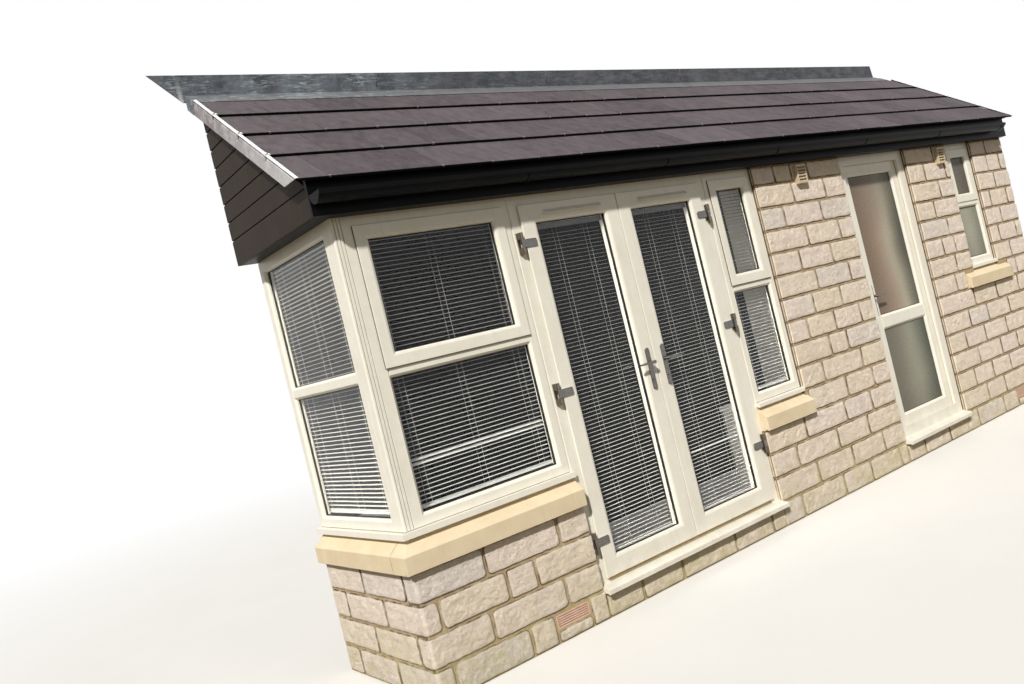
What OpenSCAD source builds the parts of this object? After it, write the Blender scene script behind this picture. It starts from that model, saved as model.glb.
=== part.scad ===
// Lean-to bay of a stone house: corner window, garden doors, sidelight, back door,
// small window, tiled roof with a boarded cheek. Millimetres, +Z up, front faces -Y.
// Lengths along the wall are measured from the left stone corner, depths from the
// front stone face, and heights from the ground. on_plan() centres the result.

/* [Plan] */
// Length of the stone front wall, corner to corner
wall_length = 6464; // [6300:2:6800]
// How far the bay stands out from the house wall
bay_depth = 968; // [940:2:1100]
// Thickness of the stone and block walls
wall_thickness = 300; // [260:10:320]
// Thickness of the outer leaf of stone
stone_leaf = 100; // [95:5:120]
// Height of one course of stone with its joint
course_height = 150; // [148:1:152]
// Height of the finished floor above the ground
floor_top = 165; // [150:5:170]

/* [Window band] */
// Depth of the window frames behind the stone face
frame_setback = 23; // [20:1:30]
// Depth of the frame section, front to back
frame_depth = 60; // [60:1:64]
// Width of frame seen round fixed glass
frame_sight = 57; // [54:1:60]
// Width of the corner post on the front
post_width = 64; // [60:1:70]
// Right edge of the front window frame
front_window_right = 1010; // [990:5:1012]
// Left edge of the garden door frame
door_left = 1022; // [1022:1:1030]
// Right edge of the garden door frame
door_right = 2532; // [2532:2:2540]
// Left edge of the sidelight frame
sidelight_left = 2542; // [2542:2:2550]
// Right edge of the sidelight frame
sidelight_right = 3002; // [2990:2:3020]
// Underside of the bay's window frames
frame_base = 777; // [775:1:780]
// Underside of the transom in the bay's windows
transom_base = 1466; // [1400:2:1500]
// Height of a transom bar
transom_height = 64; // [60:1:70]
// How far an opening sash laps over its frame
sash_lap = 21; // [18:1:24]
// Width of sash seen round its glass
sash_sight = 69; // [64:1:74]
// How far a sash stands in front of its frame
sash_proud = 8; // [6:1:12]

/* [Small window and back door] */
// Left edge of the back door frame
back_left = 3972; // [3950:2:3990]
// Right edge of the back door frame
back_right = 4864; // [4850:2:4880]
// Left edge of the small window frame
small_left = 5480; // [5460:2:5500]
// Right edge of the small window frame
small_right = 5910; // [5890:2:5930]
// Underside of the small window's transom
small_transom_base = 1697; // [1650:2:1750]

/* [Sills] */
// How far a stone sill stands out from the stone face
sill_nose = 41; // [35:1:50]
// Height of a stone sill's front face
sill_face = 85; // [75:1:92]
// Height of a stone sill from bed to stool
sill_height = 145; // [140:1:147]
// How far the plastic cills stand out from their frames
cill_nose = 30; // [25:1:35]
// How far the door cills stand out from the stone face
door_cill_nose = 50; // [40:1:60]

/* [Roof] */
// Pitch of the roof in degrees
roof_pitch = 36; // [34:0.5:38]
// Exposed length of one course of tiles
tile_gauge = 312; // [300:1:320]
// Length of one tile
tile_length = 420; // [410:1:430]
// Thickness of a tile
tile_thick = 15; // [13:1:18]
// Distance from the stone face out to the tiles' lower edge
eave_reach = 120; // [110:1:130]
// Height of the top edge of the lowest tiles
eave_height = 2385; // [2375:1:2400]
// How far the roof runs past the left stone corner
left_overhang = 148; // [140:1:155]
// How far the roof runs past the right stone corner
right_overhang = 63; // [45:1:70]
// Height of the top of the lead on the house wall
lead_top = 3264; // [3250:1:3280]
// Exposed height of one cladding board on the cheek
board_gauge = 98; // [90:1:110]

/* [Door furniture] */
// Height of the lever spindles above the ground
lever_height = 1202; // [1150:1:1250]
// Length of a lever from its spindle
lever_length = 112; // [95:1:125]
// Radius of a lever's neck where it turns in the backplate
neck_radius = 8; // [7:0.5:9]
// Radius of a hinge barrel
barrel_radius = 9; // [8:0.5:10]
// Height of a hinge barrel
barrel_height = 114; // [100:2:120]
// Radial play of the pins and necks in their holes
running_play = 0.05; // [0.03:0.01:0.08]

/* [Hidden] */
$fn = 48;
eps = 0.01;

stone = [0.88, 0.80, 0.71];
sandstone = [0.90, 0.82, 0.65];
plastic = [0.92, 0.90, 0.84];
timber = [0.72, 0.58, 0.40];
slate_grey = [0.42, 0.39, 0.39];
black = [0.08, 0.08, 0.09];
cladding = [0.27, 0.24, 0.22];
lead = [0.38, 0.41, 0.46];
silver = [0.75, 0.75, 0.74];
chrome = [0.55, 0.54, 0.52];
brass = [0.72, 0.58, 0.30];
glazing = [0.30, 0.34, 0.36, 0.4];
terracotta = [0.72, 0.42, 0.30];
plaster = [0.90, 0.89, 0.86];
concrete = [0.62, 0.61, 0.58];

wall_top = 15 * course_height;
sill_bed = 4 * course_height;
small_sill_bed = 7 * course_height;
inner_leaf = wall_thickness - stone_leaf;

// Window frames end below a plain head strip that runs up to the beam.
head_strip = 33;
ring_top = wall_top - head_strip;
frame_back = frame_setback + frame_depth;
front_window_left = frame_setback + post_width;
return_window_front = frame_back;
cill_thick = 30;
small_frame_base = small_sill_bed + frame_base - sill_bed;

// Glass units sit in a groove that the frame sections carry.
glass_grip = 10;
glass_front = 20;
glass_back = 44;

// Garden doors: leaves open outwards and lap over the frame's face.
door_cill_top = 172;
door_cill_base = 132;
door_face = 73;
door_head_face = 88;
door_foot_face = 35;
door_stop = 20;
door_stop_thick = 12;
leaf_lap = 17;
leaf_sight = 100;
leaf_thick = 55;
leaf_flange = 9;
leaf_air = 5;
leaf_inset = leaf_lap + leaf_air;
leaf_gap = 6;
leaf_face = frame_setback - leaf_air - leaf_flange;
leaf_back = leaf_face + leaf_thick;
leaf_base = door_cill_top + door_foot_face - leaf_lap;
leaf_top = wall_top - door_head_face + leaf_lap - 4;
door_middle = (door_left + door_right) / 2;
left_leaf_left = door_left + door_face - leaf_lap;
left_leaf_right = door_middle - leaf_gap / 2;
right_leaf_left = door_middle + leaf_gap / 2;
right_leaf_right = door_right - door_face + leaf_lap;
meeting_fill = 17;
clip_frame = 18;
clip_width = 12;

// Back door: the leaf opens inwards and closes against a stop on the outside.
back_stop_face = 84;
back_rebate = 58;
back_stop_thick = 20;
back_foot_face = 74;
back_foot_rebate = 48;
back_head_rebate = 62;
back_leaf_sight = 123;
back_leaf_thick = 49;
swing_air = 2;
back_leaf_flange = 9;
back_leaf_face = frame_setback + back_stop_thick + leaf_air;
back_leaf_back = back_leaf_face + back_leaf_thick;
back_leaf_left = back_left + back_rebate + leaf_air + swing_air - leaf_inset;
back_leaf_right = back_right - back_rebate - leaf_air + leaf_inset;
back_leaf_base = door_cill_top + back_foot_rebate + leaf_air - leaf_inset;
back_leaf_top = wall_top - back_head_rebate - leaf_air + leaf_inset;
back_rail_base = 946;
back_rail_height = 108;

// Hinge pins stand in front of the frame's face, clear of the leaf's edge.
pin_radius = 4;
pin_out = leaf_face - barrel_radius;
left_pin = left_leaf_left - 28;
right_pin = right_leaf_right + 28;
back_pin = back_leaf_right + 12;
back_pin_in = back_leaf_back + barrel_radius;
left_hinge_heights = [383, 1177, 1975];
right_hinge_heights = [530, 1290, 1978];
back_hinge_heights = [420, 1190, 1985];
knuckle_height = 42;
knuckle_gap = 1;
flag_length = 96;
flag_thick = 6;
bracket_reach = 20;

// Levers: distances of the spindles along the wall.
left_spindle = left_leaf_right - 47;
right_spindle = right_leaf_left + 70;
back_spindle = back_leaf_left + 61;
plate_thick = 8;
plate_width = 28;
plate_height = 237;
plate_drop = 152;
spindle_hole = 12;
lever_reach = 42;
lever_thick = 11;
lever_root = 10;
lever_tip = 4.5;

// Roof: a slope plane on the battens' top, s up the slope and t square to it.
tile_lift = tile_thick * tile_length / tile_gauge;
batten_thick = 25;
batten_width = 38;
rafter_depth = 97;
rafter_width = 47;
nose_top = tile_lift + tile_thick;
slope_y = -eave_reach + nose_top * sin(roof_pitch);
slope_z = eave_height - nose_top * cos(roof_pitch);
lead_thick = 5;
slope_length = (bay_depth - lead_thick - slope_y) / cos(roof_pitch);
fascia_front = -60;
fascia_thick = 20;
fascia_back = fascia_front + fascia_thick;
soffit_base = 2226;
soffit_thick = 9;
cheek_face = -85;
cladding_thick = 20;
cheek_back = cheek_face + cladding_thick;
beam_height = 90;
beam_top = wall_top + beam_height;
ledger_thick = 50;
rafter_count = 11;
rafter_pitch = (wall_length - wall_thickness - rafter_width) / (rafter_count - 1);
ceiling_front = 110;
ceiling_thick = 12;
joist_height = 95;

// Height of the rafters' top and of their underside at depth y.
function rafter_top(y) =
    slope_z + (y - slope_y) * tan(roof_pitch) - batten_thick / cos(roof_pitch);
function rafter_base(y) = rafter_top(y) - rafter_depth / cos(roof_pitch);

// Depth at which the rafters' underside reaches height z.
function rafter_base_y(z) = (z - rafter_base(0)) / tan(roof_pitch);

// Moves the plan from its left front corner to its middle.
module on_plan() {
    translate([-wall_length / 2, -bay_depth / 2, 0]) children();
}

// Extrudes a depth-height outline along the wall.
module along_wall(x0, x1) {
    translate([x0, 0, 0]) rotate([90, 0, 90]) linear_extrude(x1 - x0) children();
}

// Extrudes a length-height outline into the depth.
module into_depth(y0, y1) {
    translate([0, y1, 0]) rotate([90, 0, 0]) linear_extrude(y1 - y0) children();
}

// A box given by its low and high corners.
module block(low, high) {
    translate(low) cube(high - low);
}

// Outline on the roof slope: s runs up the slope, t square to it.
module on_slope() {
    translate([slope_y, slope_z]) rotate(roof_pitch) children();
}

// A rectangular ring with mitred corners. section is an outline of [in from the
// outer edge, back from the face]; the ring stands upright with its face to -Y.
module mitred_ring(width, height, section) {
    reach = max([for (p = section) p[0]]);
    depth = max([for (p = section) p[1]]);
    for (side = [0, 1]) {
        length = side == 0 ? width : height;
        for (turn = [0, 180])
            translate([width / 2, 0, height / 2])
                rotate([0, turn + side * 90, 0])
                    translate([-length / 2, 0, -(side == 0 ? height : width) / 2])
                        intersection() {
                            rotate([90, 0, 90]) linear_extrude(length)
                                polygon([for (p = section) [p[1], p[0]]]);
                            translate([0, depth, 0]) rotate([90, 0, 0]) linear_extrude(depth)
                                polygon([[0, 0], [length, 0],
                                    [length - reach, reach], [reach, reach]]);
                        }
    }
}

// Section of a window frame: flat face, bead sloping in to the glass, and its groove.
frame_section = [[0, 0], [frame_sight - 13, 0], [frame_sight, 11],
    [frame_sight, glass_front], [frame_sight - glass_grip, glass_front],
    [frame_sight - glass_grip, glass_back], [frame_sight, glass_back],
    [frame_sight, frame_depth - 8], [frame_sight - 6, frame_depth], [0, frame_depth]];

// Section of an opening sash, rounded over towards the glass.
sash_back = sash_proud + 42;
sash_body = sash_lap + 3;
ovolo = 12;
sash_section = concat([[0, 3], [3, 0], [sash_sight - ovolo - 3, 0]],
    [for (a = [0:22.5:90]) [sash_sight - ovolo + ovolo * sin(a), 2 + ovolo - ovolo * cos(a)]],
    [[sash_sight, glass_front + 2], [sash_sight - glass_grip, glass_front + 2],
    [sash_sight - glass_grip, glass_back], [sash_sight, glass_back],
    [sash_sight, sash_back], [sash_body, sash_back], [sash_body, sash_proud],
    [0, sash_proud]]);

// Section of a garden door leaf: flange in front of the frame, body behind it.
leaf_section = concat([[0, 2], [2, 0], [leaf_sight - ovolo - 3, 0]],
    [for (a = [0:22.5:90]) [leaf_sight - ovolo + ovolo * sin(a), 2 + ovolo - ovolo * cos(a)]],
    [[leaf_sight, glass_front], [leaf_sight - glass_grip, glass_front],
    [leaf_sight - glass_grip, glass_back], [leaf_sight, glass_back],
    [leaf_sight, leaf_thick - 5], [leaf_sight - 5, leaf_thick],
    [leaf_inset, leaf_thick], [leaf_inset, leaf_flange], [0, leaf_flange]]);

// Section of the back door leaf: body first, flange on the inside.
back_leaf_body = back_leaf_thick - back_leaf_flange;
back_glass_front = 18;
back_glass_back = 38;
back_leaf_section = [[leaf_inset, 0], [back_leaf_sight - 15, 0], [back_leaf_sight, 12],
    [back_leaf_sight, back_glass_front], [back_leaf_sight - glass_grip, back_glass_front],
    [back_leaf_sight - glass_grip, back_glass_back], [back_leaf_sight, back_glass_back],
    [back_leaf_sight, back_leaf_thick - 5], [back_leaf_sight - 5, back_leaf_thick],
    [0, back_leaf_thick], [0, back_leaf_body], [leaf_inset, back_leaf_body]];

// Depth-height outline of a transom bar grooved for glass below and above.
module transom_outline(height, top_glass) {
    difference() {
        polygon([[0, 12], [12, 0], [height - 12, 0], [height, 12],
            [height, frame_depth - 8], [height - 6, frame_depth],
            [6, frame_depth], [0, frame_depth - 8]]);
        translate([-eps, glass_front]) square([glass_grip + eps, glass_back - glass_front]);
        if (top_glass)
            translate([height - glass_grip, glass_front])
                square([glass_grip + eps, glass_back - glass_front]);
    }
}

// A window frame with a transom and a plain strip over its head.
module window_frame(width, base, transom, top_glass) {
    mitred_ring(width, ring_top - base, frame_section);
    translate([frame_sight - 6, 0, transom - base])
        rotate([0, -90, 180]) mirror([0, 1, 0]) linear_extrude(width - 2 * frame_sight + 12)
            transom_outline(transom_height, top_glass);
    block([0, 2, ring_top - base - eps], [width, frame_depth, wall_top - base]);
}

// An opening sash that laps over the opening between left, right, base and top.
module sash(left, right, base, top) {
    translate([left - sash_lap, frame_setback - sash_proud, base - sash_lap])
        mitred_ring(right - left + 2 * sash_lap, top - base + 2 * sash_lap, sash_section);
}

// A pane standing in the grooves round the given sight size, with a little air
// at its sides, head and faces.
glass_air = 1;
face_air = 0.2;

module pane(left, right, base, top, front, back) {
    block([left - glass_grip + glass_air, front + face_air, base - glass_grip],
        [right + glass_grip - glass_air, back - face_air, top + glass_grip - glass_air]);
}

module floor_slab() {
    color(concrete)
        block([wall_thickness, wall_thickness, 0],
            [wall_length - wall_thickness, bay_depth, floor_top]);
}

// Wall below a window: stone leaf to the sill's bed, block leaf to the window board.
module under_window(x0, x1, bed) {
    along_wall(x0, x1)
        polygon([[0, 0], [0, bed], [stone_leaf, bed], [stone_leaf, bed + sill_height],
            [wall_thickness, bed + sill_height], [wall_thickness, 0]]);
}

brick_length = 216;
brick_height = 65;
brick_depth = 60;
brick_base = 70;
brick_places = [695, 5706];

module brick_pocket(x0) {
    block([x0, -1, brick_base], [x0 + brick_length, brick_depth, brick_base + brick_height]);
}

module front_plinth() {
    color(stone) difference() {
        under_window(0, door_left, sill_bed);
        brick_pocket(brick_places[0]);
        block([-1, stone_leaf - eps, sill_bed],
            [stone_leaf, wall_thickness + 1, sill_bed + sill_height + 1]);
    }
}

module return_plinth() {
    color(stone)
        into_depth(wall_thickness, bay_depth)
            polygon([[0, 0], [0, sill_bed], [stone_leaf, sill_bed],
                [stone_leaf, sill_bed + sill_height],
                [wall_thickness, sill_bed + sill_height], [wall_thickness, 0]]);
}

module sidelight_plinth() {
    color(stone) under_window(door_right, sidelight_right, sill_bed);
}

// Wall under both doors, level with the floor behind the cill.
module door_bases() {
    color(stone) for (span = [[door_left, door_right], [back_left, back_right]])
        along_wall(span[0], span[1])
            polygon([[0, 0], [0, door_cill_base], [frame_back, door_cill_base],
                [frame_back, floor_top], [wall_thickness, floor_top],
                [wall_thickness, 0]]);
}

module middle_wall() {
    color(stone) block([sidelight_right, 0, 0], [back_left, wall_thickness, wall_top]);
}

module door_pier() {
    color(stone) block([back_right, 0, 0], [small_left, wall_thickness, wall_top]);
}

module small_window_wall() {
    color(stone) difference() {
        under_window(small_left, small_right, small_sill_bed);
        brick_pocket(brick_places[1]);
    }
}

module corner_pier() {
    color(stone) difference() {
        block([small_right, 0, 0], [wall_length, wall_thickness, wall_top]);
        brick_pocket(brick_places[1]);
    }
}

module end_wall() {
    color(stone)
        along_wall(wall_length - wall_thickness, wall_length)
            polygon([[wall_thickness, 0], [bay_depth, 0], [bay_depth, rafter_top(bay_depth)],
                [0, rafter_top(0)], [0, wall_top], [wall_thickness, wall_top]]);
}

// Lintel beam over the front openings, turning back over the return window.
module head_beam() {
    color(concrete) translate([0, 0, wall_top]) linear_extrude(beam_height)
        polygon([[0, 0], [wall_length - wall_thickness, 0],
            [wall_length - wall_thickness, wall_thickness], [wall_thickness, wall_thickness],
            [wall_thickness, bay_depth], [0, bay_depth]]);
}

// Rafters notched over the beam and cut square to the ledger.
module rafters() {
    rafter_end = bay_depth - ledger_thick;
    color(timber) for (i = [0:rafter_count - 1])
        along_wall(i * rafter_pitch, i * rafter_pitch + rafter_width)
            polygon([[fascia_back, rafter_base(fascia_back)], [0, rafter_base(0)],
                [0, beam_top], [rafter_base_y(beam_top), beam_top],
                [rafter_end, rafter_base(rafter_end)], [rafter_end, rafter_top(rafter_end)],
                [fascia_back, rafter_top(fascia_back)]]);
}

// Tile battens across the rafters, one under the head of each course.
module tile_battens() {
    color(timber) for (i = [0:course_count - 1])
        along_wall(cheek_face, wall_length)
            on_slope()
                translate([min(i * tile_gauge + tile_length - 60,
                    slope_length - batten_width - 60), eps - batten_thick])
                    square([batten_width, batten_thick - 2 * eps]);
}

module ledger() {
    front = bay_depth - ledger_thick;
    color(timber)
        along_wall(0, wall_length - wall_thickness)
            polygon([[front, rafter_base(front)], [bay_depth, rafter_base(front)],
                [bay_depth, rafter_top(bay_depth)], [front, rafter_top(front)]]);
}

module ceiling() {
    color(plaster)
        block([0, ceiling_front, beam_top],
            [wall_length - wall_thickness, bay_depth, beam_top + ceiling_thick]);
}

// One joist beside each rafter carries the ceiling board.
module ceiling_joists() {
    front = rafter_base_y(beam_top + ceiling_thick) + 70;
    color(timber) for (i = [0:rafter_count - 2])
        translate([i * rafter_pitch + rafter_width, front, beam_top + ceiling_thick])
            cube([rafter_width, bay_depth - ledger_thick - front, joist_height]);
}

// Lapped courses: each tile's nose rests on the tile below, so the top is stepped.
course_count = 4;
function tile_top(i, s) = tile_thick + tile_lift * (1 - (s - i * tile_gauge) / tile_length);
function course_end(i) = i < course_count - 1 ? (i + 1) * tile_gauge : slope_length - 6;

module roof_tiles() {
    steps = [for (i = [0:course_count - 1])
        each [[i * tile_gauge, tile_top(i, i * tile_gauge)],
            [course_end(i), tile_top(i, course_end(i))]]];
    color(slate_grey)
        along_wall(-left_overhang, wall_length + right_overhang)
            intersection() {
                on_slope() polygon(concat(steps, [[slope_length + 40, 0],
                    [tile_length, 0], [0, tile_lift]]));
                translate([-1000, 0]) square([1000 + bay_depth - lead_thick, 4000]);
            }
}

fascia_top = eave_height + (fascia_front + eave_reach) * tan(roof_pitch)
    - tile_thick / cos(roof_pitch) - 8;

module fascia() {
    color(black)
        block([cheek_face, fascia_front, soffit_base], [wall_length, fascia_back, fascia_top]);
}

// Soffit boards under the eaves and the cheek, with tongues back to the frames.
module soffit() {
    color(black) translate([0, 0, soffit_base]) linear_extrude(soffit_thick) union() {
        translate([cheek_back, fascia_back]) square([wall_length - cheek_back, -fascia_back]);
        translate([cheek_back, -1]) square([-cheek_back, bay_depth + 1]);
        translate([-1, -1]) square([frame_setback + 1, bay_depth + 1]);
        for (span = [[0, sidelight_right], [back_left, back_right], [small_left, small_right]])
            translate([span[0], -1]) square([span[1] - span[0], frame_setback + 1]);
    }
}

// Half-round gutter with a flat lip, closed ends and straps on the fascia.
gutter_radius = 50;
gutter_wall = 3;
gutter_rim = 2318;
gutter_right = wall_length - 204;
strap_count = 7;

module gutter_outline(outer, inner) {
    translate([fascia_front - gutter_radius - gutter_wall, gutter_rim]) difference() {
        circle(outer);
        if (inner > 0) circle(inner);
        translate([-outer - 1, 0]) square([2 * outer + 2, outer + 1]);
    }
}

module gutter() {
    middle = fascia_front - gutter_radius - gutter_wall;
    color(black) union() {
        along_wall(cheek_face, gutter_right) union() {
            gutter_outline(gutter_radius, gutter_radius - gutter_wall);
            translate([middle - gutter_radius - 5, gutter_rim - 19]) square([8, 22]);
            translate([middle + gutter_radius - gutter_wall, gutter_rim - 1])
                square([gutter_wall, 6]);
        }
        for (x = [cheek_face, gutter_right - gutter_wall])
            along_wall(x, x + gutter_wall) gutter_outline(gutter_radius, 0);
        for (i = [0:strap_count - 1])
            along_wall(40 + i * (gutter_right - 100) / (strap_count - 1),
                65 + i * (gutter_right - 100) / (strap_count - 1)) union() {
                gutter_outline(gutter_radius + gutter_wall, gutter_radius - 1);
                translate([fascia_front - gutter_wall - 1, gutter_rim - 40])
                    square([gutter_wall + 1, 55]);
            }
    }
}

// Lead dressed from the house wall down over the head of the top course and the side
// of the verge, with a pointed wing on the wall past it.
lead_left = 322;
lead_right = wall_length - 40;
lead_sheet = 3;
apron_length = 123;
apron_foot = slope_length - apron_length;
lead_cheek_foot = -44;

module lead_flashing() {
    roof_left = -left_overhang;
    cheek_left = roof_left - lead_sheet - 0.5;
    foot = eave_height + (bay_depth + eave_reach) * tan(roof_pitch);
    foot_bed = tile_top(course_count - 1, apron_foot) + 0.5;
    head_bed = tile_top(course_count - 1, slope_length + 40) + 0.5;
    color(lead) union() {
        into_depth(bay_depth - lead_thick, bay_depth)
            polygon([[-lead_left, lead_top], [lead_right, lead_top],
                [lead_right + 20, foot - 60], [roof_left - 17, foot - 60]]);
        along_wall(cheek_left, wall_length + right_overhang - 60)
            intersection() {
                on_slope() polygon([[apron_foot, foot_bed], [apron_foot, foot_bed + lead_sheet],
                    [slope_length + 40, head_bed + lead_sheet], [slope_length + 40, head_bed]]);
                square([bay_depth - lead_thick + 1, 4000]);
            }
        along_wall(cheek_left, roof_left - 0.5)
            intersection() {
                on_slope() polygon([[apron_foot, lead_cheek_foot],
                    [apron_foot, foot_bed + lead_sheet],
                    [slope_length + 40, head_bed + lead_sheet],
                    [slope_length + 40, lead_cheek_foot]]);
                square([bay_depth - lead_thick + 1, 4000]);
            }
    }
}

// Dry verge: one straight trim from the eave to the lead, with a side face that is cut
// level at its foot and a narrow flange over the tiles' edge.
verge_face = 81;
verge_flange = 8;
verge_thick = 4;
verge_foot = -6;

module verge_trim() {
    head = apron_foot - 4;
    top = tile_top(0, 0) + verge_thick;
    along_wall(-verge_thick, 0) on_slope()
        polygon([[verge_foot, top], [head, top], [head, top - verge_face],
            [verge_foot + verge_face / tan(roof_pitch), top - verge_face]]);
    along_wall(-verge_thick, verge_flange) on_slope()
        polygon([[verge_foot, top], [head, top], [head, top - verge_thick + 0.5],
            [verge_foot, top - verge_thick + 0.5]]);
}

module verges() {
    color(silver) union() {
        translate([-left_overhang, 0, 0]) verge_trim();
        translate([wall_length + right_overhang, 0, 0]) mirror([1, 0, 0]) verge_trim();
    }
}

// Side of the roof space over the return window, under the battens.
module cheek_outline(front, base) {
    polygon([[front, base], [bay_depth, base], [bay_depth, rafter_top(bay_depth)],
        [front, rafter_top(front)]]);
}

module cheek_frame() {
    color(timber)
        along_wall(cheek_back, 0) cheek_outline(fascia_back, soffit_base + soffit_thick);
}

// Shiplap boards: each board's head is coved back under the next one.
module cheek_cladding() {
    first_joint = 2362;
    board_cove = 12;
    joints = [for (i = [0:8]) first_joint + i * board_gauge];
    face = [for (z = joints) each [[cheek_face, z - board_cove], [cheek_face + 4, z - 5],
        [cheek_face + 7, z - 1], [cheek_face + 7, z], [cheek_face, z]]];
    color(cladding) intersection() {
        into_depth(fascia_back, bay_depth)
            polygon(concat([[cheek_back, soffit_base], [cheek_face, soffit_base]], face,
                [[cheek_face, 3400], [cheek_back, 3400]]));
        along_wall(cheek_face - 10, cheek_back + 10) cheek_outline(fascia_back, soffit_base);
    }
}

// Cast sill outline: depth from the nose, weathered top, stool and drip groove.
module sill_outline(bed) {
    stool = frame_setback - 3;
    polygon([[-sill_nose, bed], [-sill_nose, bed + sill_face - 3],
        [-sill_nose + 3, bed + sill_face], [stool, bed + sill_height - 11],
        [stool, bed + sill_height], [stone_leaf, bed + sill_height], [stone_leaf, bed],
        [-12, bed], [-12, bed + 8], [-22, bed + 8], [-22, bed]]);
}

// The front sill turns the corner, so its left end is weathered as well.
module corner_sill() {
    intersection() {
        along_wall(-sill_nose, door_left) sill_outline(sill_bed);
        into_depth(-sill_nose, stone_leaf)
            polygon([[-sill_nose, sill_bed - 1], [-sill_nose, sill_bed + sill_face - 3],
                [-sill_nose + 3, sill_bed + sill_face],
                [frame_setback - 3, sill_bed + sill_height - 11],
                [frame_setback - 3, sill_bed + sill_height],
                [door_left, sill_bed + sill_height], [door_left, sill_bed - 1]]);
    }
}

small_sill_overhang = 140;
sill_joint = 4;

module stone_sills() {
    color(sandstone) union() {
        corner_sill();
        into_depth(stone_leaf + sill_joint, bay_depth) sill_outline(sill_bed);
        along_wall(door_right, sidelight_right) sill_outline(sill_bed);
        along_wall(sidelight_right - 1, sidelight_right + 20) sill_front(sill_bed);
        along_wall(small_left, small_right) sill_outline(small_sill_bed);
        for (x = [small_left - small_sill_overhang, small_right - 1])
            along_wall(x, x + small_sill_overhang + 1) sill_front(small_sill_bed);
    }
}

// The part of a sill outline in front of the wall, for its ends past the opening.
module sill_front(bed) {
    intersection() {
        sill_outline(bed);
        translate([-sill_nose - 1, bed - 1]) square([sill_nose + 1, sill_height]);
    }
}

// Plastic cills: nose with a drip lip, and a raised back under the frame.
module bay_cill_plan(inset) {
    out = frame_setback - cill_nose + inset;
    polygon([[out, out], [front_window_right + 12, out], [front_window_right + 12, frame_back],
        [frame_back, frame_back], [frame_back, bay_depth], [out, bay_depth]]);
}

module straight_cill(left, right, base) {
    nose = frame_setback - cill_nose;
    along_wall(left, right)
        polygon([[nose, base + 2], [nose, base + cill_thick - 5], [nose + 3, base + cill_thick - 2],
            [frame_setback, base + cill_thick], [frame_setback, base + cill_thick + 2],
            [frame_back, base + cill_thick + 2], [frame_back, base], [nose + 27, base],
            [nose + 27, base + 6], [nose + 12, base + 6], [nose + 12, base + 2]]);
}

// Cill that turns the corner under the bay's two windows.
module corner_cill(base) {
    difference() {
        union() {
            translate([0, 0, base + 2]) linear_extrude(cill_thick - 2) bay_cill_plan(0);
            translate([0, 0, base]) linear_extrude(cill_thick + 2) bay_cill_plan(cill_nose);
            translate([0, 0, base]) linear_extrude(10) bay_cill_plan(27);
        }
        translate([0, 0, base - 1]) linear_extrude(7) difference() {
            bay_cill_plan(12);
            bay_cill_plan(27);
        }
    }
}

module door_cill_outline() {
    polygon([[-door_cill_nose, 127], [-door_cill_nose, 150], [-door_cill_nose + 4, 154],
        [frame_setback, 168], [frame_setback, door_cill_top], [frame_back, door_cill_top],
        [frame_back, door_cill_base], [-door_cill_nose + 24, door_cill_base],
        [-door_cill_nose + 12, door_cill_base], [-door_cill_nose + 12, 127]]);
}

module plastic_cills() {
    base = frame_base - cill_thick - 2;
    round_end = 30;
    color(plastic) union() {
        corner_cill(base);
        straight_cill(sidelight_left - 10, sidelight_right, base);
        straight_cill(small_left, small_right, small_frame_base - cill_thick - 2);
        along_wall(door_left, door_right) door_cill_outline();
        intersection() {
            along_wall(back_left, back_right) door_cill_outline();
            linear_extrude(door_cill_top) union() {
                translate([back_left, -door_cill_nose])
                    square([back_right - back_left - round_end, wall_thickness]);
                translate([back_left, round_end - door_cill_nose])
                    square([back_right - back_left, wall_thickness]);
                translate([back_right - round_end, round_end - door_cill_nose])
                    circle(round_end);
            }
        }
    }
}

// Square post with grooves down the front and a rounded corner.
post_grooves = [16, 33, 50];

module corner_post() {
    arris = 8;
    color(plastic) translate([frame_setback, frame_setback, frame_base])
        linear_extrude(wall_top - frame_base) difference() {
            union() {
                translate([arris, 0]) square([post_width - arris, frame_depth]);
                translate([0, arris]) square([post_width, frame_depth - arris]);
                translate([arris, arris]) circle(arris);
            }
            for (x = post_grooves)
                polygon([[x - 2.5, -1], [x + 2.5, -1], [x + 1, 4], [x - 1, 4]]);
            polygon([[-1, frame_depth - 6], [-1, frame_depth - 10], [3, frame_depth - 8]]);
        }
}

module front_frame() {
    color(plastic) union() {
        translate([front_window_left, frame_setback, frame_base])
            window_frame(front_window_right - front_window_left, frame_base, transom_base, false);
        block([front_window_right - eps, frame_setback + 4, frame_base],
            [door_left, frame_back, wall_top]);
    }
}

module return_frame() {
    length = bay_depth - return_window_front;
    color(plastic)
        translate([frame_setback, bay_depth, frame_base]) rotate([0, 0, -90])
            window_frame(length, frame_base, transom_base, true);
}

module sidelight_frame() {
    color(plastic) union() {
        translate([sidelight_left, frame_setback, frame_base])
            window_frame(sidelight_right - sidelight_left, frame_base, transom_base, false);
        block([door_right, frame_setback + 4, frame_base],
            [sidelight_left + eps, frame_back, wall_top]);
    }
}

module small_frame() {
    color(plastic) translate([small_left, frame_setback, small_frame_base])
        window_frame(small_right - small_left, small_frame_base, small_transom_base, false);
}

// Left, right and transom of each window that has a top sash.
sash_windows = [[front_window_left, front_window_right, transom_base],
    [sidelight_left, sidelight_right, transom_base],
    [small_left, small_right, small_transom_base]];

module sashes() {
    color(plastic) union() for (w = sash_windows)
        sash(w[0] + frame_sight, w[1] - frame_sight, w[2] + transom_height,
            ring_top - frame_sight);
}

// Inside handle on the bottom rail of each top sash: a base plate and a cranked grip.
handle_plate = 60;
handle_grip = 112;

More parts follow.
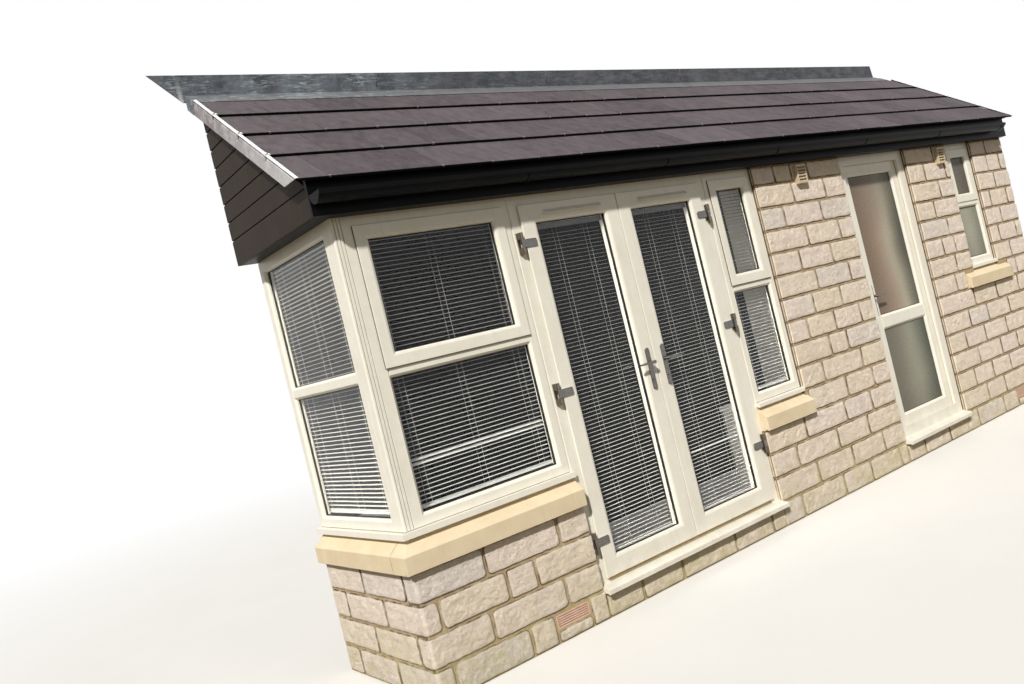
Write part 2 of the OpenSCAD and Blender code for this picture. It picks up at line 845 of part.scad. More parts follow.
module sash_handles() {
    back = frame_setback - sash_proud + sash_back;
    rail = transom_height - sash_lap + sash_sight / 2;
    color(plastic) for (w = sash_windows)
        translate([(w[0] + w[1]) / 2, back, w[2] + rail]) rotate([-90, 0, 0]) union() {
            linear_extrude(5) union() {
                translate([-handle_plate / 2 + 12, -12]) square([handle_plate - 24, 24]);
                for (x = [12 - handle_plate / 2, handle_plate / 2 - 12])
                    translate([x, 0]) circle(12);
            }
            cylinder(r = 8, h = 18);
            translate([0, 0, 11]) linear_extrude(7) union() {
                polygon([[0, -8], [handle_grip - 6, -6], [handle_grip - 6, 6], [0, 8]]);
                circle(8);
                translate([handle_grip - 6, 0]) circle(6);
            }
        }
}

module window_glass() {
    sash_glass = frame_setback - sash_proud;
    inset = frame_sight + sash_sight - sash_lap;
    bases = [frame_base, frame_base, small_frame_base];
    color(glazing) union() {
        for (i = [0:2]) {
            w = sash_windows[i];
            pane(w[0] + frame_sight, w[1] - frame_sight, bases[i] + frame_sight, w[2],
                frame_setback + glass_front, frame_setback + glass_back);
            pane(w[0] + inset, w[1] - inset, w[2] + transom_height + sash_sight - sash_lap,
                ring_top - inset, sash_glass + glass_front + 2, sash_glass + glass_back);
        }
        translate([frame_setback, 0, 0]) rotate([0, 0, -90]) mirror([1, 0, 0]) {
            near = return_window_front + frame_sight;
            far = bay_depth - frame_sight;
            pane(near, far, frame_base + frame_sight, transom_base, glass_front, glass_back);
            pane(near, far, transom_base + transom_height, ring_top - frame_sight,
                glass_front, glass_back);
        }
    }
}

// Inside boards: one turns the corner, two sit behind the sidelight and small window.
board_thick = 25;
board_nose = 25;

module window_boards() {
    base = sill_bed + sill_height;
    small_board = small_sill_bed + sill_height;
    edge = wall_thickness + board_nose;
    color(plaster) union() {
        translate([0, 0, base]) linear_extrude(board_thick)
            polygon([[frame_back, frame_back], [door_left, frame_back],
                [door_left, edge], [edge, edge], [edge, bay_depth], [frame_back, bay_depth]]);
        block([door_right, frame_back, base], [sidelight_right, edge, base + board_thick]);
        block([small_left, frame_back, small_board],
            [small_right, edge, small_board + board_thick]);
    }
}

// Head rails and bottom rails of the blinds behind the bay's windows.
blind_depth = 26;
head_rail = 24;
bottom_rail = 12;

module blind_rails(left, right) {
    base = sill_bed + sill_height + board_thick;
    front = frame_back + 6;
    block([left, front, wall_top - head_rail], [right, front + blind_depth, wall_top]);
    block([left, front, base], [right, front + blind_depth, base + bottom_rail]);
}

module window_blinds() {
    far = frame_back + blind_depth + 12;
    color(plaster) union() {
        blind_rails(far, front_window_right - 40);
        blind_rails(sidelight_left + 30, sidelight_right - 30);
        rotate([0, 0, -90]) mirror([1, 0, 0]) blind_rails(far, bay_depth - 20);
    }
}

// Jambs and head of a frame with a stop, as a depth outline turned round the opening.
module door_frame() {
    jamb = [[0, 0], [door_face, 0], [door_face, frame_depth - door_stop_thick],
        [door_face + door_stop, frame_depth - door_stop_thick],
        [door_face + door_stop, frame_depth], [0, frame_depth]];
    color(plastic) translate([0, frame_setback, 0]) union() {
        translate([door_left, 0, door_cill_top]) linear_extrude(wall_top - door_cill_top)
            polygon(jamb);
        translate([door_right, 0, door_cill_top]) mirror([1, 0, 0])
            linear_extrude(wall_top - door_cill_top) polygon(jamb);
        along_wall(door_left + 1, door_right - 1) union() {
            translate([0, wall_top - door_head_face]) square([frame_depth, door_head_face]);
            translate([frame_depth - door_stop_thick, wall_top - door_head_face - door_stop])
                square([door_stop_thick, door_stop + 1]);
            translate([0, door_cill_top]) square([frame_depth, door_foot_face]);
            translate([frame_depth - door_stop_thick, door_cill_top])
                square([door_stop_thick, door_foot_face + door_stop]);
        }
    }
}

// Brass weather strip along the frame's bottom member, under the garden doors.
strip_base = 174;
strip_top = 184;
strip_out = 7;

module threshold_strip() {
    color(brass) along_wall(door_left + door_face + 2, door_right - door_face - 2)
        polygon([[frame_setback - strip_out, strip_base],
            [frame_setback - strip_out, strip_base + 3],
            [frame_setback - 2, strip_top], [frame_setback, strip_top],
            [frame_setback, strip_base]]);
}

module back_door_frame() {
    jamb = [[0, 0], [back_stop_face, 0], [back_stop_face, back_stop_thick],
        [back_rebate, back_stop_thick], [back_rebate, frame_depth], [0, frame_depth]];
    color(plastic) translate([0, frame_setback, 0]) union() {
        translate([back_left, 0, door_cill_top]) linear_extrude(wall_top - door_cill_top)
            polygon(jamb);
        translate([back_right, 0, door_cill_top]) mirror([1, 0, 0])
            linear_extrude(wall_top - door_cill_top) polygon(jamb);
        along_wall(back_left + 1, back_right - 1) union() {
            translate([0, wall_top - door_head_face]) square([back_stop_thick, door_head_face]);
            translate([0, wall_top - back_head_rebate]) square([frame_depth, back_head_rebate]);
            translate([0, door_cill_top]) square([back_stop_thick, back_foot_face]);
            translate([0, door_cill_top]) square([frame_depth, back_foot_rebate]);
        }
    }
}

// A garden door leaf with its vent canopy and the clip frame of its blind.
canopy_inset = 157;
canopy_length = 409;

module garden_leaf(left, right, fill_left, fill_right, spindle, canopy) {
    width = right - left;
    height = leaf_top - leaf_base;
    color(plastic) difference() {
        union() {
            translate([left, leaf_face, leaf_base]) mitred_ring(width, height, leaf_section);
            block([fill_left, leaf_face + leaf_flange, leaf_base + leaf_inset],
                [fill_right, leaf_back, leaf_top - leaf_inset]);
            difference() {
                block([left + leaf_sight - clip_width, leaf_back - 1,
                    leaf_base + leaf_sight - clip_width],
                    [right - leaf_sight + clip_width, leaf_back + clip_frame,
                    leaf_top - leaf_sight + clip_width]);
                block([left + leaf_sight, leaf_back - 2, leaf_base + leaf_sight],
                    [right - leaf_sight, leaf_back + clip_frame + 1, leaf_top - leaf_sight]);
            }
            along_wall(canopy, canopy + canopy_length)
                translate([leaf_face, leaf_top])
                    polygon([[1, -38], [-4, -40], [-15, -58], [-15, -64], [-11, -64],
                        [-8, -59], [1, -56]]);
        }
        translate([spindle, leaf_face - 1, lever_height]) rotate([-90, 0, 0])
            cylinder(r = spindle_hole, h = leaf_thick + 2);
    }
}

module left_leaf() {
    body = left_leaf_right - leaf_inset;
    garden_leaf(left_leaf_left, left_leaf_right, body - 1, body + meeting_fill,
        left_spindle, left_leaf_left + canopy_inset);
}

module right_leaf() {
    body = right_leaf_left + leaf_inset;
    garden_leaf(right_leaf_left, right_leaf_right, body - meeting_fill, body + 1,
        right_spindle, right_leaf_left + canopy_inset + 9);
}

module back_leaf() {
    width = back_leaf_right - back_leaf_left;
    height = back_leaf_top - back_leaf_base;
    color(plastic) difference() {
        union() {
            translate([back_leaf_left, back_leaf_face, back_leaf_base])
                mitred_ring(width, height, back_leaf_section);
            along_wall(back_leaf_left + back_leaf_sight - 4,
                back_leaf_right - back_leaf_sight + 4)
                translate([back_leaf_face, back_rail_base]) back_rail_outline();
        }
        translate([back_spindle, back_leaf_face - 1, lever_height]) rotate([-90, 0, 0])
            cylinder(r = spindle_hole, h = back_leaf_thick + 2);
    }
}

// Middle rail of the back door, beaded and grooved on both edges.
module back_rail_outline() {
    top = back_rail_height;
    grip = back_glass_back - back_glass_front;
    difference() {
        polygon([[0, 15], [12, 0], [back_leaf_thick - 5, 0], [back_leaf_thick, 5],
            [back_leaf_thick, top - 5], [back_leaf_thick - 5, top], [12, top], [0, top - 15]]);
        translate([back_glass_front, -eps]) square([grip, glass_grip]);
        translate([back_glass_front, top - glass_grip]) square([grip, glass_grip + eps]);
    }
}

module left_glass() {
    color(glazing)
        pane(left_leaf_left + leaf_sight, left_leaf_right - leaf_sight, leaf_base + leaf_sight,
            leaf_top - leaf_sight, leaf_face + glass_front, leaf_face + glass_back);
}

module right_glass() {
    color(glazing)
        pane(right_leaf_left + leaf_sight, right_leaf_right - leaf_sight,
            leaf_base + leaf_sight, leaf_top - leaf_sight,
            leaf_face + glass_front, leaf_face + glass_back);
}

module back_glass() {
    left = back_leaf_left + back_leaf_sight;
    right = back_leaf_right - back_leaf_sight;
    front = back_leaf_face + back_glass_front;
    back = back_leaf_face + back_glass_back;
    color(glazing) union() {
        pane(left, right, back_leaf_base + back_leaf_sight, back_rail_base, front, back);
        pane(left, right, back_rail_base + back_rail_height,
            back_leaf_top - back_leaf_sight, front, back);
    }
}

// Fixed half of a flag hinge: two knuckles, the pin through them, and a back plate.
// It stands at the pin with the frame at +Y and the leaf at +X.
module hinge_bracket(plate_face) {
    half = barrel_height / 2;
    open = knuckle_height / 2 + knuckle_gap;
    union() {
        translate([0, 0, -half]) cylinder(r = pin_radius, h = barrel_height);
        for (z = [-half, open])
            translate([0, 0, z]) {
                cylinder(r = barrel_radius, h = half - open);
                translate([-bracket_reach, 0, 0])
                    cube([bracket_reach + 1, plate_face, half - open]);
            }
        translate([-bracket_reach, plate_face - 6, -half]) cube([14, 6, barrel_height]);
    }
}

// Moving half: the middle knuckle and the flag that lies on the leaf.
module hinge_flag(plate_face) {
    translate([0, 0, -knuckle_height / 2]) difference() {
        union() {
            cylinder(r = barrel_radius, h = knuckle_height);
            translate([0, plate_face - flag_thick, 0])
                cube([flag_length - 8, flag_thick, knuckle_height]);
            translate([flag_length - 9, plate_face, 8]) rotate([90, 0, 0])
                cylinder(r = 8, h = flag_thick);
            translate([flag_length - 9, plate_face, knuckle_height - 8]) rotate([90, 0, 0])
                cylinder(r = 8, h = flag_thick);
            translate([flag_length - 20, plate_face - flag_thick, 8])
                cube([19, flag_thick, knuckle_height - 16]);
        }
        translate([0, 0, -1]) cylinder(r = pin_radius + running_play, h = knuckle_height + 2);
    }
}

module hinge_brackets() {
    color(chrome) union() {
        for (z = left_hinge_heights) translate([left_pin, pin_out, z])
            hinge_bracket(frame_setback - pin_out);
        for (z = right_hinge_heights) translate([right_pin, pin_out, z])
            mirror([1, 0, 0]) hinge_bracket(frame_setback - pin_out);
        for (z = back_hinge_heights) translate([back_pin, back_pin_in, z])
            rotate([0, 0, 180]) hinge_bracket(back_pin_in - frame_back);
    }
}

// Long backplate with a cylinder lock below the lever, standing out to -Y.
module backplate(face) {
    low = lever_height - plate_drop;
    r = plate_width / 2;
    translate([0, face, 0]) rotate([90, 0, 0]) difference() {
        union() {
            translate([-r, low + r]) linear_extrude(plate_thick) square([2 * r, plate_height - 2 * r]);
            for (z = [low + r, low + plate_height - r])
                translate([0, z, 0]) cylinder(r = r, h = plate_thick);
            translate([0, lever_height - 92, 0]) cylinder(r = 8.5, h = plate_thick + 5);
        }
        translate([0, lever_height, -1])
            cylinder(r = neck_radius + running_play, h = plate_thick + 2);
    }
}

module furniture(spindle, front, back) {
    translate([spindle, 0, 0]) {
        backplate(front);
        translate([0, back, 0]) mirror([0, 1, 0]) backplate(0);
    }
}

module left_furniture() {
    color(chrome) union() {
        for (z = left_hinge_heights) translate([left_pin, pin_out, z])
            hinge_flag(leaf_face - pin_out);
        furniture(left_spindle, leaf_face, leaf_back);
    }
}

module right_furniture() {
    color(chrome) union() {
        for (z = right_hinge_heights) translate([right_pin, pin_out, z])
            mirror([1, 0, 0]) hinge_flag(leaf_face - pin_out);
        furniture(right_spindle, leaf_face, leaf_back);
    }
}

module back_furniture() {
    color(chrome) union() {
        for (z = back_hinge_heights) translate([back_pin, back_pin_in, z])
            rotate([0, 0, 180]) hinge_flag(back_pin_in - back_leaf_back);
        furniture(back_spindle, back_leaf_face, back_leaf_back);
    }
}

// Lever on both faces of a leaf, joined by its spindle; the grip runs towards +X.
module lever_side(face) {
    out = plate_thick + lever_reach;
    translate([0, face, 0]) rotate([90, 0, 0]) {
        translate([0, 0, -1]) cylinder(r = neck_radius, h = out + 1);
        translate([0, 0, plate_thick + 1]) cylinder(r = neck_radius + 4, h = 6);
        translate([0, 0, out - lever_thick]) linear_extrude(lever_thick) union() {
            polygon([[0, -lever_root], [lever_length - lever_tip, -lever_tip],
                [lever_length - lever_tip, lever_tip], [0, lever_root]]);
            translate([lever_length - lever_tip, 0]) circle(lever_tip);
            circle(lever_root);
        }
    }
}

module lever_pair(front, back) {
    union() {
        lever_side(front);
        translate([0, back, 0]) mirror([0, 1, 0]) lever_side(0);
        translate([0, front - 1, 0]) rotate([-90, 0, 0]) cylinder(r = 5, h = back - front + 2);
    }
}

module left_lever() {
    color(chrome) translate([left_spindle, 0, lever_height]) mirror([1, 0, 0])
        lever_pair(leaf_face, leaf_back);
}

module right_lever() {
    color(chrome) translate([right_spindle, 0, lever_height]) lever_pair(leaf_face, leaf_back);
}

module back_lever() {
    color(chrome) translate([back_spindle, 0, lever_height])
        lever_pair(back_leaf_face, back_leaf_back);
}

// Louvred cowls high on the wall.
vent_places = [3425, 5290];
vent_width = 100;
vent_height = 126;
vent_base = 2074;
vent_out = 40;
louvre_count = 5;

module wall_vents() {
    pitch = (vent_height - 22) / louvre_count;
    color(sandstone) for (x = vent_places) difference() {
        block([x, -vent_out, vent_base], [x + vent_width, 0, vent_base + vent_height]);
        for (i = [0:louvre_count - 1])
            along_wall(x + 8, x + vent_width - 8)
                translate([-vent_out - 1, vent_base + 14 + i * pitch])
                    polygon([[0, 0], [22, 14], [22, pitch - 2], [0, pitch - 6]]);
    }
}

// Terracotta air bricks with sloping slots.
module air_bricks() {
    slots = 5;
    pitch = (brick_height - 8) / slots;
    color(terracotta) for (x = brick_places) difference() {
        block([x, 0, brick_base], [x + brick_length, brick_depth, brick_base + brick_height]);
        for (i = [0:slots - 1])
            along_wall(x + 8, x + brick_length - 8)
                translate([-1, brick_base + 5 + i * pitch])
                    polygon([[0, 0], [25, 6], [25, pitch - 1], [0, pitch - 5]]);
    }
}

on_plan() floor_slab();
on_plan() front_plinth();
on_plan() return_plinth();
on_plan() sidelight_plinth();
on_plan() door_bases();
on_plan() middle_wall();
on_plan() door_pier();
on_plan() small_window_wall();
on_plan() corner_pier();
on_plan() end_wall();
on_plan() head_beam();
on_plan() rafters();
on_plan() tile_battens();
on_plan() ledger();
on_plan() ceiling();
on_plan() ceiling_joists();
on_plan() roof_tiles();
on_plan() fascia();
on_plan() soffit();
on_plan() gutter();
on_plan() lead_flashing();
on_plan() verges();
on_plan() cheek_frame();
on_plan() cheek_cladding();
on_plan() stone_sills();
on_plan() plastic_cills();
on_plan() corner_post();
on_plan() return_frame();
on_plan() front_frame();
on_plan() sidelight_frame();
on_plan() small_frame();
on_plan() sashes();
on_plan() sash_handles();
on_plan() window_glass();
on_plan() window_boards();
on_plan() window_blinds();
on_plan() door_frame();
on_plan() back_door_frame();
on_plan() threshold_strip();
on_plan() left_leaf();
on_plan() right_leaf();
on_plan() back_leaf();
on_plan() left_glass();
on_plan() right_glass();
on_plan() back_glass();
on_plan() hinge_brackets();
on_plan() left_furniture();
on_plan() right_furniture();
on_plan() back_furniture();
on_plan() left_lever();
on_plan() right_lever();
on_plan() back_lever();
on_plan() wall_vents();
on_plan() air_bricks();
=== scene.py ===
import math

import bpy
import numpy as np
from mathutils import Matrix


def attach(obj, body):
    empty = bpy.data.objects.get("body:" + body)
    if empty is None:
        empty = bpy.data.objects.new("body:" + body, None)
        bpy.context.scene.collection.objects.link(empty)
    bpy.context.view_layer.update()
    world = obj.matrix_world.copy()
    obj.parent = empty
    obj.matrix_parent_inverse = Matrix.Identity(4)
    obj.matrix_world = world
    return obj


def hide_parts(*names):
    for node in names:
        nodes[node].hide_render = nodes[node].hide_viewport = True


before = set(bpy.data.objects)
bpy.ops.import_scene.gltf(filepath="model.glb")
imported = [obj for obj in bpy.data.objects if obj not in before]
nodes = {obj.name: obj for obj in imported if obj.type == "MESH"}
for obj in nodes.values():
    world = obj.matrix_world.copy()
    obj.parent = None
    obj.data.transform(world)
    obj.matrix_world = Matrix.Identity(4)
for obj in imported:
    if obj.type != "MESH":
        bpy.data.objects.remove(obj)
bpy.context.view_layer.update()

# Sizes below are plan millimetres: x from the left stone corner, y from the front
# stone face, z from the ground. planMiddle is the frame's origin on that plan.
planMiddle = np.array([3232.0, 484.0, 0.0])
wallLength = 6464.0
bayDepth = 968.0
roofPitch = math.radians(36)
sashFace, frameFace = 16.5, 23.0


def latticeNoise(x, y, seed):
    # value noise: every lattice corner gets a hashed value, and the four corners round
    # a point are blended with smooth steps; the result runs from -1 to 1
    ix, iy = np.floor(x).astype(np.int64), np.floor(y).astype(np.int64)
    fx, fy = x - ix, y - iy
    fx = fx * fx * (3 - 2 * fx)
    fy = fy * fy * (3 - 2 * fy)

    def corner(a, b):
        h = (a * 374761393 + b * 668265263 + seed * 982451653) & 0x7FFFFFFF
        h = ((h ^ (h >> 13)) * 1274126177) & 0x7FFFFFFF
        return (h ^ (h >> 16)) / 0x3FFFFFFF - 1.0

    low = corner(ix, iy) * (1 - fx) + corner(ix + 1, iy) * fx
    high = corner(ix, iy + 1) * (1 - fx) + corner(ix + 1, iy + 1) * fx
    return low * (1 - fy) + high * fy


def chance(number, seed):
    # one repeatable value from -1 to 1 for a piece's number
    return float(latticeNoise(np.array(number * 7.0), np.array(seed * 3.0), seed))


def gridFaces(rows, columns, closeRows=False, closeColumns=False):
    # quads of a grid whose point (i, j) has index i * columns + j; a closed direction
    # joins its last line of points to its first
    i, j = np.meshgrid(np.arange(rows if closeRows else rows - 1),
                       np.arange(columns if closeColumns else columns - 1), indexing="ij")
    nextI, nextJ = (i + 1) % rows, (j + 1) % columns
    return np.stack([i * columns + j, nextI * columns + j,
                     nextI * columns + nextJ, i * columns + nextJ], -1).reshape(-1, 4)


def fanFaces(rim, middle):
    # quads from a middle point over each two steps of the rim round it
    k = np.arange(0, len(rim), 2)
    return np.column_stack([np.full(len(k), middle), rim[k], rim[(k + 1) % len(rim)],
                            rim[(k + 2) % len(rim)]])


def outward(points, quads):
    # a closed shell's volume is a sum over its faces; if it is negative, the faces
    # point inwards and are turned round
    a, b, c, d = (points[quads[:, k]] for k in range(4))
    volume = np.einsum("ij,ij->i", a, np.cross(b, c) + np.cross(c, d)).sum()
    return quads[:, ::-1] if volume < 0 else quads


def loft(rings, tone=0.0, joined=False):
    # closed outlines (ring, point, xyz) joined one to the next; the ends are closed by
    # fans round the outlines' middles, or the last ring is joined to the first
    rings = np.asarray(rings, float)
    count, around = rings.shape[:2]
    quads = gridFaces(count, around, closeRows=joined, closeColumns=True)
    points = rings.reshape(-1, 3)
    if not joined:
        rim = np.arange(around)
        start = fanFaces(rim, len(points))
        end = fanFaces(rim + (count - 1) * around, len(points) + 1)[:, [0, 3, 2, 1]]
        points = np.concatenate([points, rings[[0, -1]].mean(axis=1)])
        quads = np.concatenate([quads, start, end])
    return points, outward(points, quads), tone


def bar(low, high, arris):
    # a box whose long edges are taken off: an eight-sided outline carried along the
    # box's longest side
    low, high = np.asarray(low, float), np.asarray(high, float)
    size = high - low
    axis = int(np.argmax(size))
    a, b = [(1, 2), (2, 0), (0, 1)][axis]
    c = min(arris, 0.3 * size[a], 0.3 * size[b])
    w, h = size[a], size[b]
    rings = np.zeros((2, 8, 3))
    rings[:, :, a] = low[a] + np.array([c, w - c, w, w, w - c, c, 0, 0])
    rings[:, :, b] = low[b] + np.array([0, 0, c, h - c, h, h, h - c, c])
    rings[:, :, axis] = [[low[axis]], [high[axis]]]
    return loft(rings)


def rod(start, end, radius, sides=6):
    # a round bar: a circle square to the line from start to end
    start, end = np.asarray(start, float), np.asarray(end, float)
    along = (end - start) / np.linalg.norm(end - start)
    helper = np.array([0, 0, 1.0]) if abs(along[2]) < 0.9 else np.array([1.0, 0, 0])
    u = np.cross(along, helper)
    u /= np.linalg.norm(u)
    v = np.cross(along, u)
    angle = np.arange(sides) * 2 * np.pi / sides
    circle = radius * (np.cos(angle)[:, None] * u + np.sin(angle)[:, None] * v)
    return loft(np.stack([start + circle, end + circle]))


def upright(outline, height):
    # an outline on the plan, set at a height
    return np.column_stack([outline, np.full(len(outline), height)])


def swapped(rings, turned):
    # rings of the front wall, or with x and y changed over for the return side
    return rings[:, :, [1, 0, 2]] if turned else rings


def windowRing(left, right, base, top, section, turned):
    # an upright rectangular ring with mitred corners: section is (in from the edge,
    # depth) points, carried round the four corners
    inset, depth = np.array(section, float).T
    low, high = base + inset, top - inset
    corners = [(left + inset, low), (right - inset, low), (right - inset, high),
               (left + inset, high)]
    rings = np.array([np.stack([x, depth, z], -1) for x, z in corners])
    return loft(swapped(rings, turned), joined=True)


def shade(red, green, blue):
    # a screen colour from 0 to 255 as the linear light that shaders use
    c = np.array([red, green, blue]) / 255.0
    linear = np.where(c <= 0.04045, c / 12.92, ((c + 0.055) / 1.055) ** 2.4)
    return (*(float(v) for v in linear), 1.0)


class Shading:
    # a node tree with a short way to add what the materials use. An input is a value or
    # a socket to connect, by name or number; three numbers for a colour are a screen colour
    def __init__(self, tree):
        self.tree = tree

    def fill(self, node, inputs):
        for key, value in inputs.items():
            socket = node.inputs[key]
            if isinstance(value, bpy.types.NodeSocket):
                self.tree.links.new(value, socket)
            elif socket.type == "RGBA" and len(value) == 3:
                socket.default_value = shade(*value)
            else:
                socket.default_value = value

    def add(self, kind, inputs=None, **settings):
        node = self.tree.nodes.new("ShaderNode" + kind)
        for key, value in settings.items():
            setattr(node, key, value)
        self.fill(node, inputs or {})
        return node.outputs

    def group(self, group, inputs):
        return self.add("Group", inputs, node_tree=group)

    def mix(self, factor, first, second, blend="MIX"):
        return self.add("Mix", {0: factor, 6: first, 7: second},
                        data_type="RGBA", blend_type=blend)[2]

    def math(self, operation, first, second=0.5, clamp=False):
        return self.add("Math", {0: first, 1: second}, operation=operation,
                        use_clamp=clamp)[0]

    def plus(self, first, second, clamp=False):
        return self.math("ADD", first, second, clamp)

    def minus(self, first, second):
        return self.math("SUBTRACT", first, second)

    def times(self, first, second, clamp=False):
        return self.math("MULTIPLY", first, second, clamp)

    def most(self, first, second):
        return self.math("MAXIMUM", first, second)

    def spread(self, value, fromLow, fromHigh, toLow=0.0, toHigh=1.0):
        # a value stretched from one range to another and held inside it
        return self.add("MapRange", {0: value, 1: fromLow, 2: fromHigh, 3: toLow,
                                     4: toHigh})[0]

    def noise(self, vector, scale, detail=4.0, roughness=0.6, distortion=0.0):
        # fractal noise at a scale in features a metre
        return self.add("TexNoise", {"Vector": vector, "Scale": scale, "Detail": detail,
                                     "Roughness": roughness, "Distortion": distortion})[0]

    def place(self, stretch=None):
        # object coordinates, drawn out by a vector
        place = self.add("TexCoord")["Object"]
        if stretch is None:
            return place
        return self.add("VectorMath", {0: place, 1: stretch}, operation="MULTIPLY")[0]

    def axes(self, vector):
        return self.add("SeparateXYZ", {0: vector})

    def facing(self):
        # 1 where a face looks up, -1 where it looks down
        return self.axes(self.add("NewGeometry")["Normal"])[2]

    def attribute(self, name):
        return self.add("Attribute", attribute_name=name)["Fac"]

    def bump(self, height, distance, strength=1.0, **more):
        return self.add("Bump", {"Height": height, "Distance": distance,
                                 "Strength": strength, **more})[0]

    def surface(self, shader, color, roughness, specular, normal, metallic=0.0):
        self.fill(shader, {"Base Color": color, "Roughness": roughness, "Normal": normal,
                           "Specular IOR Level": specular, "Metallic": metallic})

    def either(self, factor, first, second):
        return self.add("MixShader", {0: factor, 1: first, 2: second})[0]


materials = {}


def startMaterial(name):
    # a new material by that name, with its shading, shader and output
    material = materials[name] = bpy.data.materials.new(name)
    material.use_nodes = True
    parts = {node.type: node for node in material.node_tree.nodes}
    return Shading(material.node_tree), parts["BSDF_PRINCIPLED"], parts["OUTPUT_MATERIAL"]


def newGroup(name, inputs, outputs):
    # an empty shader group with named sockets
    group = bpy.data.node_groups.new(name, "ShaderNodeTree")
    for label, (kind, value) in inputs.items():
        socket = group.interface.new_socket(label, in_out="INPUT",
                                            socket_type="NodeSocket" + kind)
        socket.default_value = value
    for label, kind in outputs.items():
        group.interface.new_socket(label, in_out="OUTPUT", socket_type="NodeSocket" + kind)
    given = group.nodes.new("NodeGroupInput").outputs
    return group, Shading(group), given, group.nodes.new("NodeGroupOutput")


def buildGrain():
    # two noises, coarse and fine, summed to a height and stretched to a tone
    group, sh, given, result = newGroup(
        "grain", {"Scale": ("Float", 60.0), "Fine Scale": ("Float", 400.0),
                  "Stretch": ("Vector", (1.0, 1.0, 1.0)), "Contrast": ("Float", 2.0)},
        {"Tone": "Float", "Height": "Float"})
    place = sh.place(given["Stretch"])
    height = sh.plus(sh.times(sh.noise(place, given["Scale"]), 0.7),
                     sh.times(sh.noise(place, given["Fine Scale"], 2.0), 0.3))
    centred = sh.times(sh.minus(height, 0.5), given["Contrast"])
    sh.fill(result, {"Height": height, "Tone": sh.plus(centred, 0.5, clamp=True)})
    return group


def buildWeather():
    # dirt as soft patches, as streaks that run down, and as staining near the ground
    group, sh, given, result = newGroup(
        "weather", {"Color": ("Color", (1, 1, 1, 1)), "Dirt": ("Color", (0, 0, 0, 1)),
                    "Amount": ("Float", 0.3), "Ground": ("Float", 0.0),
                    "Ground Dirt": ("Color", (0, 0, 0, 1))},
        {"Color": "Color", "Mask": "Float"})
    place = sh.place()
    patches = sh.spread(sh.noise(place, 4.5, 6.0, 0.65), 0.45, 0.72)
    streaks = sh.spread(sh.noise(sh.place((16.0, 16.0, 1.3)), 1.6), 0.5, 0.78)
    mask = sh.times(sh.most(patches, streaks), given["Amount"], clamp=True)
    low = sh.spread(sh.axes(place)[2], 0.42, 0.02)
    mottled = sh.spread(sh.noise(place, 11.0, 6.0, 0.7), 0.38, 0.66)
    ground = sh.times(sh.times(low, mottled), given["Ground"], clamp=True)
    stained = sh.mix(mask, given["Color"], given["Dirt"])
    sh.fill(result, {"Color": sh.mix(ground, stained, given["Ground Dirt"]),
                     "Mask": sh.most(mask, ground)})
    return group


def buildEdges():
    # a rounded normal close to sharp edges, and a mask of how far it turns there
    group, sh, given, result = newGroup("edges", {"Radius": ("Float", 0.001)},
                                        {"Normal": "Vector", "Mask": "Float"})
    rounded = sh.add("Bevel", {"Radius": given["Radius"]}, samples=4)[0]
    flat = sh.add("NewGeometry")["Normal"]
    same = sh.add("VectorMath", {0: rounded, 1: flat}, operation="DOT_PRODUCT")["Value"]
    sh.fill(result, {"Normal": rounded, "Mask": sh.spread(same, 0.995, 0.8)})
    return group


grainGroup = buildGrain()
weatherGroup = buildWeather()
edgesGroup = buildEdges()

